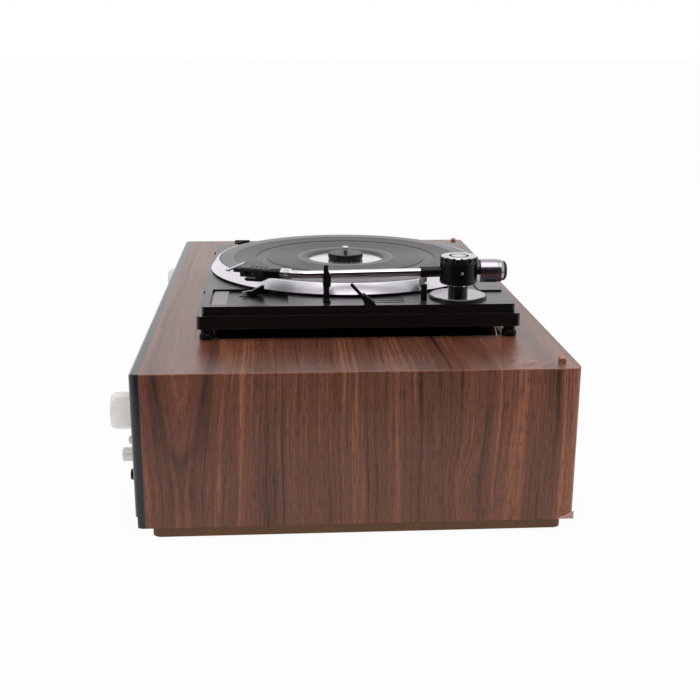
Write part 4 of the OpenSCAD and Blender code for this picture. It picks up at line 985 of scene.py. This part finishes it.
def mat_profile(at, outer):
    """Section of the mat as (radius, height) in metres: flat bands and a trough, with ribs between."""
    sizes = (at.label_r, at.trough_r, at.trough_r + at.trough_w, at.band_r)
    label, trough, far, band = (size / MM for size in sizes)
    hub = [(outer, MAT_FOOT), (label, MAT_FOOT), (label, 2.2), (label + 0.7, 2.6),
           (label + 9.6, BAND_TOP), (label + 10.4, 2.9), (label + 11, RIB_TOP)]
    down = [(trough, STEP_TOP), (trough + 0.3, TROUGH_FLOOR)]
    up = [(far - 0.3, TROUGH_FLOOR), (far, STEP_TOP)]
    rim = [(band - 0.3, 2.5), (band, BAND_TOP), (outer - 0.8, BAND_TOP), (outer - 0.2, 2.7), (outer, 2.2)]
    return np.concatenate((
        hub, ribs(at, label + 11.4, trough - 0.4, RIB_TOP),
        down, ribs(at, trough + 0.6, far - 0.6, TROUGH_FLOOR)[1:-1], up,
        ribs(at, far + 0.4, band - 0.6, RIB_TOP), rim)) * MM


class STEREO_OT_platter(bpy.types.Operator):
    """Polished platter, ribbed mat, adapter and spindle"""
    bl_idname = "stereo.platter"
    bl_label = "Platter"

    def execute(self, context):
        at = looks().deck
        low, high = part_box("platter_mat")
        centre = ((low[0] + high[0]) / 2, (low[1] + high[1]) / 2, low[2])
        dress(self.polished(at, centre), "platter")
        outer = (high[0] - low[0]) / 2 / MM - 0.1
        mat = piece("ribbed_mat", [revolved(mat_profile(at, outer), centre, 192)],
                    self.rubber(at, centre), "platter")
        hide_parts("platter_mat")
        dress(moulded("adapter_black", linear(16, 16, 17), rough=0.32), "record_adapter")
        dress(plated("spindle_chrome", looks().arm.chrome, 0.06), "spindle")
        return {"FINISHED"}

    def polished(self, at, centre):
        """Turned metal: a bright disc inside the mat's opening and a satin rim outside it."""
        material, shader = start("platter_polished", Metallic=1.0, Anisotropic=0.75,
                                 Anisotropic_Rotation=0.25)
        vector = here(shader, centre)
        lines = rings(vector, 0.35 * MM)
        outside = spread(off_axis(vector), at.label_r, 2 * at.label_r)
        satin = calc("MULTIPLY_ADD", outside, 0.14, 0.16)
        tint = blend(outside, looks().arm.chrome, at.platter)
        feed(shader, Base_Color=blend(times(lines, 0.1), tint, BLACK),
             Roughness=calc("MULTIPLY_ADD", lines, 0.08, satin))
        relief(shader, lines, 0.006 * MM, 0.4)
        return material

    def rubber(self, at, centre):
        """Grey rubber: paler on the raised bands, a painted sheen of their flat tops, and paler in the
        trough, with fine rings and dust.
        """
        material, shader = start("mat_rubber")
        vector = here(shader, centre)
        height = split(vector)[2]
        raised = spread(height, *RAISED)
        sunk = spread(height, *SUNK)
        lines = rings(vector, 1.1 * MM)
        grit = grain(vector, 1200.0)
        # The flat raised bands are painted paler: a painted sheen
        body = blend(raised, at.mat, shade(at.mat, 1.9))
        body = blend(sunk, body, shade(at.mat, 1.45))
        body = blend(times(lines, 0.5), body, shade(at.mat, 0.6))
        body = blend(dust(vector, 0.25), body, DUST_TINT)
        feed(shader, Base_Color=body, Roughness=between(grit, 0.42, 0.6))
        relief(shader, plus(grit, lines), 0.03 * MM, 0.4)
        return material


# Tone arm

PIVOT_DROP = 8 * MM
PIVOT_SINK = 0.2 * MM


class STEREO_OT_tonearm(bpy.types.Operator):
    """Bearing, tube, head and weight of the tone arm"""
    bl_idname = "stereo.tonearm"
    bl_label = "Tone arm"

    def execute(self, context):
        at = looks().arm
        chrome = plated("arm_chrome", at.chrome, 0.05)
        black = moulded("arm_black", at.black, rough=0.3, scale=1600.0, depth=0.015, dusty=0.03)
        dress(chrome, "arm_tube", "head_collar")
        dress(black, "gimbal_housing", "arm_socket", "headshell", "weight_dial")
        dress(moulded("cartridge_black", linear(24, 24, 26), rough=0.25), "cartridge")
        for name, finish, tint, drop, gloss in (
                ("gimbal_cap", "cap_silver_over_black", at.silver, 0.5, 0.2),
                # On the base disc the black below the top is a painted dark reflection and shade of its
                # chrome rim
                ("arm_base_disc", "disc_chrome_painted_dark_side", at.disc, 0.15, 0.1),
                ("arm_column", "column_black_with_neck", at.chrome, 2.5, 0.06)):
            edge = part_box(name)[1][2] - drop * MM
            dress(banded(finish, at.black, tint, edge, gloss), name)
        dress(brushed("lift_satin", at.silver, 0.25), "finger_lift")
        centre = centre_of(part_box("counterweight"))
        weight = turned("weight_chrome", at.disc, 0.14, centre, (QUARTER, 0, 0), pitch=0.4, depth=0.004)
        dress(weight, "counterweight")
        self.pivot_screw(at, chrome)
        return {"FINISHED"}

    def pivot_screw(self, at, chrome):
        """A slotted screw on the near side of the bearing, level with the pivot."""
        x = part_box("gimbal_housing")[1][0] - PIVOT_SINK
        y = centre_of(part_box("gimbal_cap"))[1]
        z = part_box("gimbal_cap")[0][2] - PIVOT_DROP
        head = slotted_head((x, y, z), (1, 0, 0), at.screw_r, height=1.2 * MM, slot=0.35 * MM)
        piece("pivot_screw", [head], chrome, "gimbal")


# Works

BOARD_THICK = 2.2 * MM
PLATES_WAVE = 6000.0


class STEREO_OT_works(bpy.types.Operator):
    """Chassis, circuit, transformer, tuning gear and motor inside the cabinet"""
    bl_idname = "stereo.works"
    bl_label = "Works"

    def execute(self, context):
        at = looks().works
        dress(brushed("chassis_steel", at.steel, 0.4), "chassis")
        dress(plated("works_steel", at.steel, 0.3), "control_pots", "tuning_gang", "motor")
        dress(brushed("sink_silver", linear(190, 190, 192), 0.35, (0, QUARTER, 0)), "heat_sink")
        nylon = moulded("guide_nylon", at.nylon, rough=0.45, scale=900.0, depth=0.02)
        dress(nylon, "cord_guides", "dial_drum")
        tint = linear(206, 190, 150)
        dress(moulded("cord_string", tint, rough=0.8, scale=2400.0, depth=0.1, dusty=0.0), "dial_cord")
        dress(moulded("idler_rubber", linear(28, 28, 28), rough=0.6, scale=1200.0), "idler_wheel")
        dress(plated("pulley_brass", linear(196, 164, 92), 0.18), "motor_pulley")
        dress(self.circuit(at), "circuit_board")
        dress(self.laminations(at), "power_transformer")
        return {"FINISHED"}

    def circuit(self, at):
        """Green board below, and parts of several colours by cells above it."""
        material, shader = start("circuit_parts")
        vector = here(shader)
        cells = fed("ShaderNodeTexVoronoi", {"Vector": vector, "Scale": 55.0}).outputs["Color"]
        parts = blend(cells, linear(28, 24, 22), linear(128, 96, 60))
        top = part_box("circuit_board")[0][2] + BOARD_THICK
        above = calc("GREATER_THAN", split(vector)[2], top)
        grit = grain(vector, 500.0)
        board = blend(grit, shade(at.circuit, 0.7), shade(at.circuit, 1.2))
        feed(shader, Base_Color=blend(above, board, parts), Roughness=between(grit, 0.3, 0.5))
        return material

    def laminations(self, at):
        """Stacked plates: dark lines by a sine along the stack."""
        material, shader = start("laminated_core", Metallic=0.8)
        vector = here(shader)
        plates = calc("SINE", times(split(vector)[1], PLATES_WAVE))
        body = blend(spread(plates, -1.0, 1.0), shade(at.steel, 0.5), at.steel)
        feed(shader, Base_Color=body, Roughness=between(grain(vector, 300.0), 0.35, 0.55))
        return material


# Stage

FLOOR_REACH = 30
FLOOR_DROP = 0.2 * MM
LAMP_PLACE = (0.8, 0.05, 2.3)
LAMP_TINT = (1, 0.96, 1)


def whiten(plain, kind, share, sink):
    """Puts white over a plain shader where a camera, mirror or glass ray sees the background."""
    tree = plain.id_data
    path = add(tree, "ShaderNodeLightPath").outputs
    seen = plus(plus(path["Is Camera Ray"], path["Is Glossy Ray"]), path["Is Transmission Ray"])
    white = add(tree, kind, {"Color": WHITE, "Strength": 1.0})
    ways = {0: times(calc("MINIMUM", seen, 1.0), share), 1: plain.outputs[0], 2: white.outputs[0]}
    plug(tree.nodes[sink].inputs[0], fed("ShaderNodeMixShader", ways).outputs[0])


class STEREO_OT_stage(bpy.types.Operator):
    """Camera, pale floor, dark card, white room and one soft lamp"""
    bl_idname = "stereo.stage"
    bl_label = "Stage"

    def execute(self, context):
        at = looks().stage
        context.scene.camera = self.camera(at)
        self.floor(at)
        self.card()
        context.scene.world = self.room(at)
        self.lamp(at)
        context.scene.view_settings.view_transform = "Standard"
        return {"FINISHED"}

    def camera(self, at):
        """Looks along yaw and pitch from the camera's place, tilted by its roll."""
        ahead = Vector((-math.cos(at.pitch) * math.cos(at.yaw), -math.cos(at.pitch) * math.sin(at.yaw),
                        -math.sin(at.pitch)))
        right = ahead.cross(Vector((0, 0, 1))).normalized()
        above = right.cross(ahead)
        across = math.cos(at.roll) * right + math.sin(at.roll) * above
        upward = -math.sin(at.roll) * right + math.cos(at.roll) * above
        turn = Matrix((across, upward, -ahead)).transposed().to_4x4()
        data = bpy.data.cameras.new("photo_camera")
        data.lens = at.lens
        data.sensor_width = 36
        data.clip_start = 0.01
        made = shown("photo_camera", data)
        made.matrix_world = Matrix.Translation(Vector(at.place)) @ turn
        return made

    def floor(self, at):
        """A wide pale floor whose own light lifts it to white where no shadow falls."""
        material, shader = start("floor_pale", Base_Color=at.floor, Roughness=0.9)
        whiten(shader, "ShaderNodeEmission", 0.95, "Material Output")
        signs = ((-1, -1), (1, -1), (1, 1), (-1, 1))
        corners = [(x * FLOOR_REACH, y * FLOOR_REACH, -FLOOR_DROP) for x, y in signs]
        made = surface("floor", corners, [(0, 1, 2, 3)], material)

    def card(self):
        """A dark card on the camera's side that only polished faces see: flat at first, then an arc."""
        material = start("card_dark", Base_Color=linear(24, 24, 26), Roughness=0.9)[0]
        near, radius, wide, end = 0.62, 2.6, 3.0, 47
        angle = np.radians(np.linspace(0, end, 24))
        out = np.concatenate(((near,), radius * np.cos(angle)))
        out, along = np.meshgrid(out, np.array((-wide, wide)), indexing="ij")
        up = np.concatenate(((0,), radius * np.sin(angle)))[:, None] + 1 * MM + 0 * along
        made = surface("dark_card", *lattice(np.stack((out, along, up), axis=-1)), material)
        for ray in ("camera", "diffuse", "transmission", "shadow"):
            setattr(made, "visible_" + ray, False)

    def room(self, at):
        """White where the background is seen, softer as light."""
        world = bpy.data.worlds.new("white_room")
        world.use_nodes = True
        soft = world.node_tree.nodes["Background"]
        feed(soft, Color=WHITE, Strength=at.sky)
        whiten(soft, "ShaderNodeBackground", 1.0, "World Output")
        return world

    def lamp(self, at):
        """One large soft lamp overhead, turned towards the origin."""
        data = bpy.data.lights.new("soft_lamp", "AREA")
        data.shape = "RECTANGLE"
        data.energy = at.lamp
        data.color = LAMP_TINT
        data.size = at.lamp_size
        data.size_y = 1.3 * at.lamp_size
        spot = Vector(LAMP_PLACE)
        turn = (-spot).to_track_quat("-Z", "Y").to_matrix().to_4x4()
        shown("soft_lamp", data).matrix_world = Matrix.Translation(spot) @ turn


# Panel and registration

OPERATORS = (STEREO_OT_cabinet, STEREO_OT_front, STEREO_OT_deck, STEREO_OT_platter, STEREO_OT_tonearm,
             STEREO_OT_works, STEREO_OT_stage)


class STEREO_PT_dresser(bpy.types.Panel):
    """Lists the pieces to dress and their colours"""
    bl_idname = "STEREO_PT_dresser"
    bl_label = "Stereo System"
    bl_space_type = "VIEW_3D"
    bl_region_type = "UI"
    bl_category = "Stereo"

    def draw(self, context):
        """A button for each operator, and a box of values for each group."""
        for operator in OPERATORS:
            self.layout.operator(operator.bl_idname)
        for name in StereoLooks.__annotations__:
            box = self.layout.box()
            box.label(text=name.title())
            held = getattr(context.scene.stereo, name)
            for key in held.__annotations__:
                box.prop(held, key)


CLASSES = (CabinetLooks, FrontLooks, DeckLooks, ArmLooks, WorksLooks, StageLooks, StereoLooks,
           *OPERATORS, STEREO_PT_dresser)


def register():
    """Adds the classes and the scene's values to Blender."""
    for made in CLASSES:
        bpy.utils.register_class(made)
    bpy.types.Scene.stereo = PointerProperty(type=StereoLooks)


def unregister():
    """Takes them out again."""
    del bpy.types.Scene.stereo
    for made in reversed(CLASSES):
        bpy.utils.unregister_class(made)


def main():
    """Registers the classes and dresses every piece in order."""
    register()
    for operator in OPERATORS:
        family, name = operator.bl_idname.split(".")
        getattr(getattr(bpy.ops, family), name)()


if __name__ == "__main__":
    main()
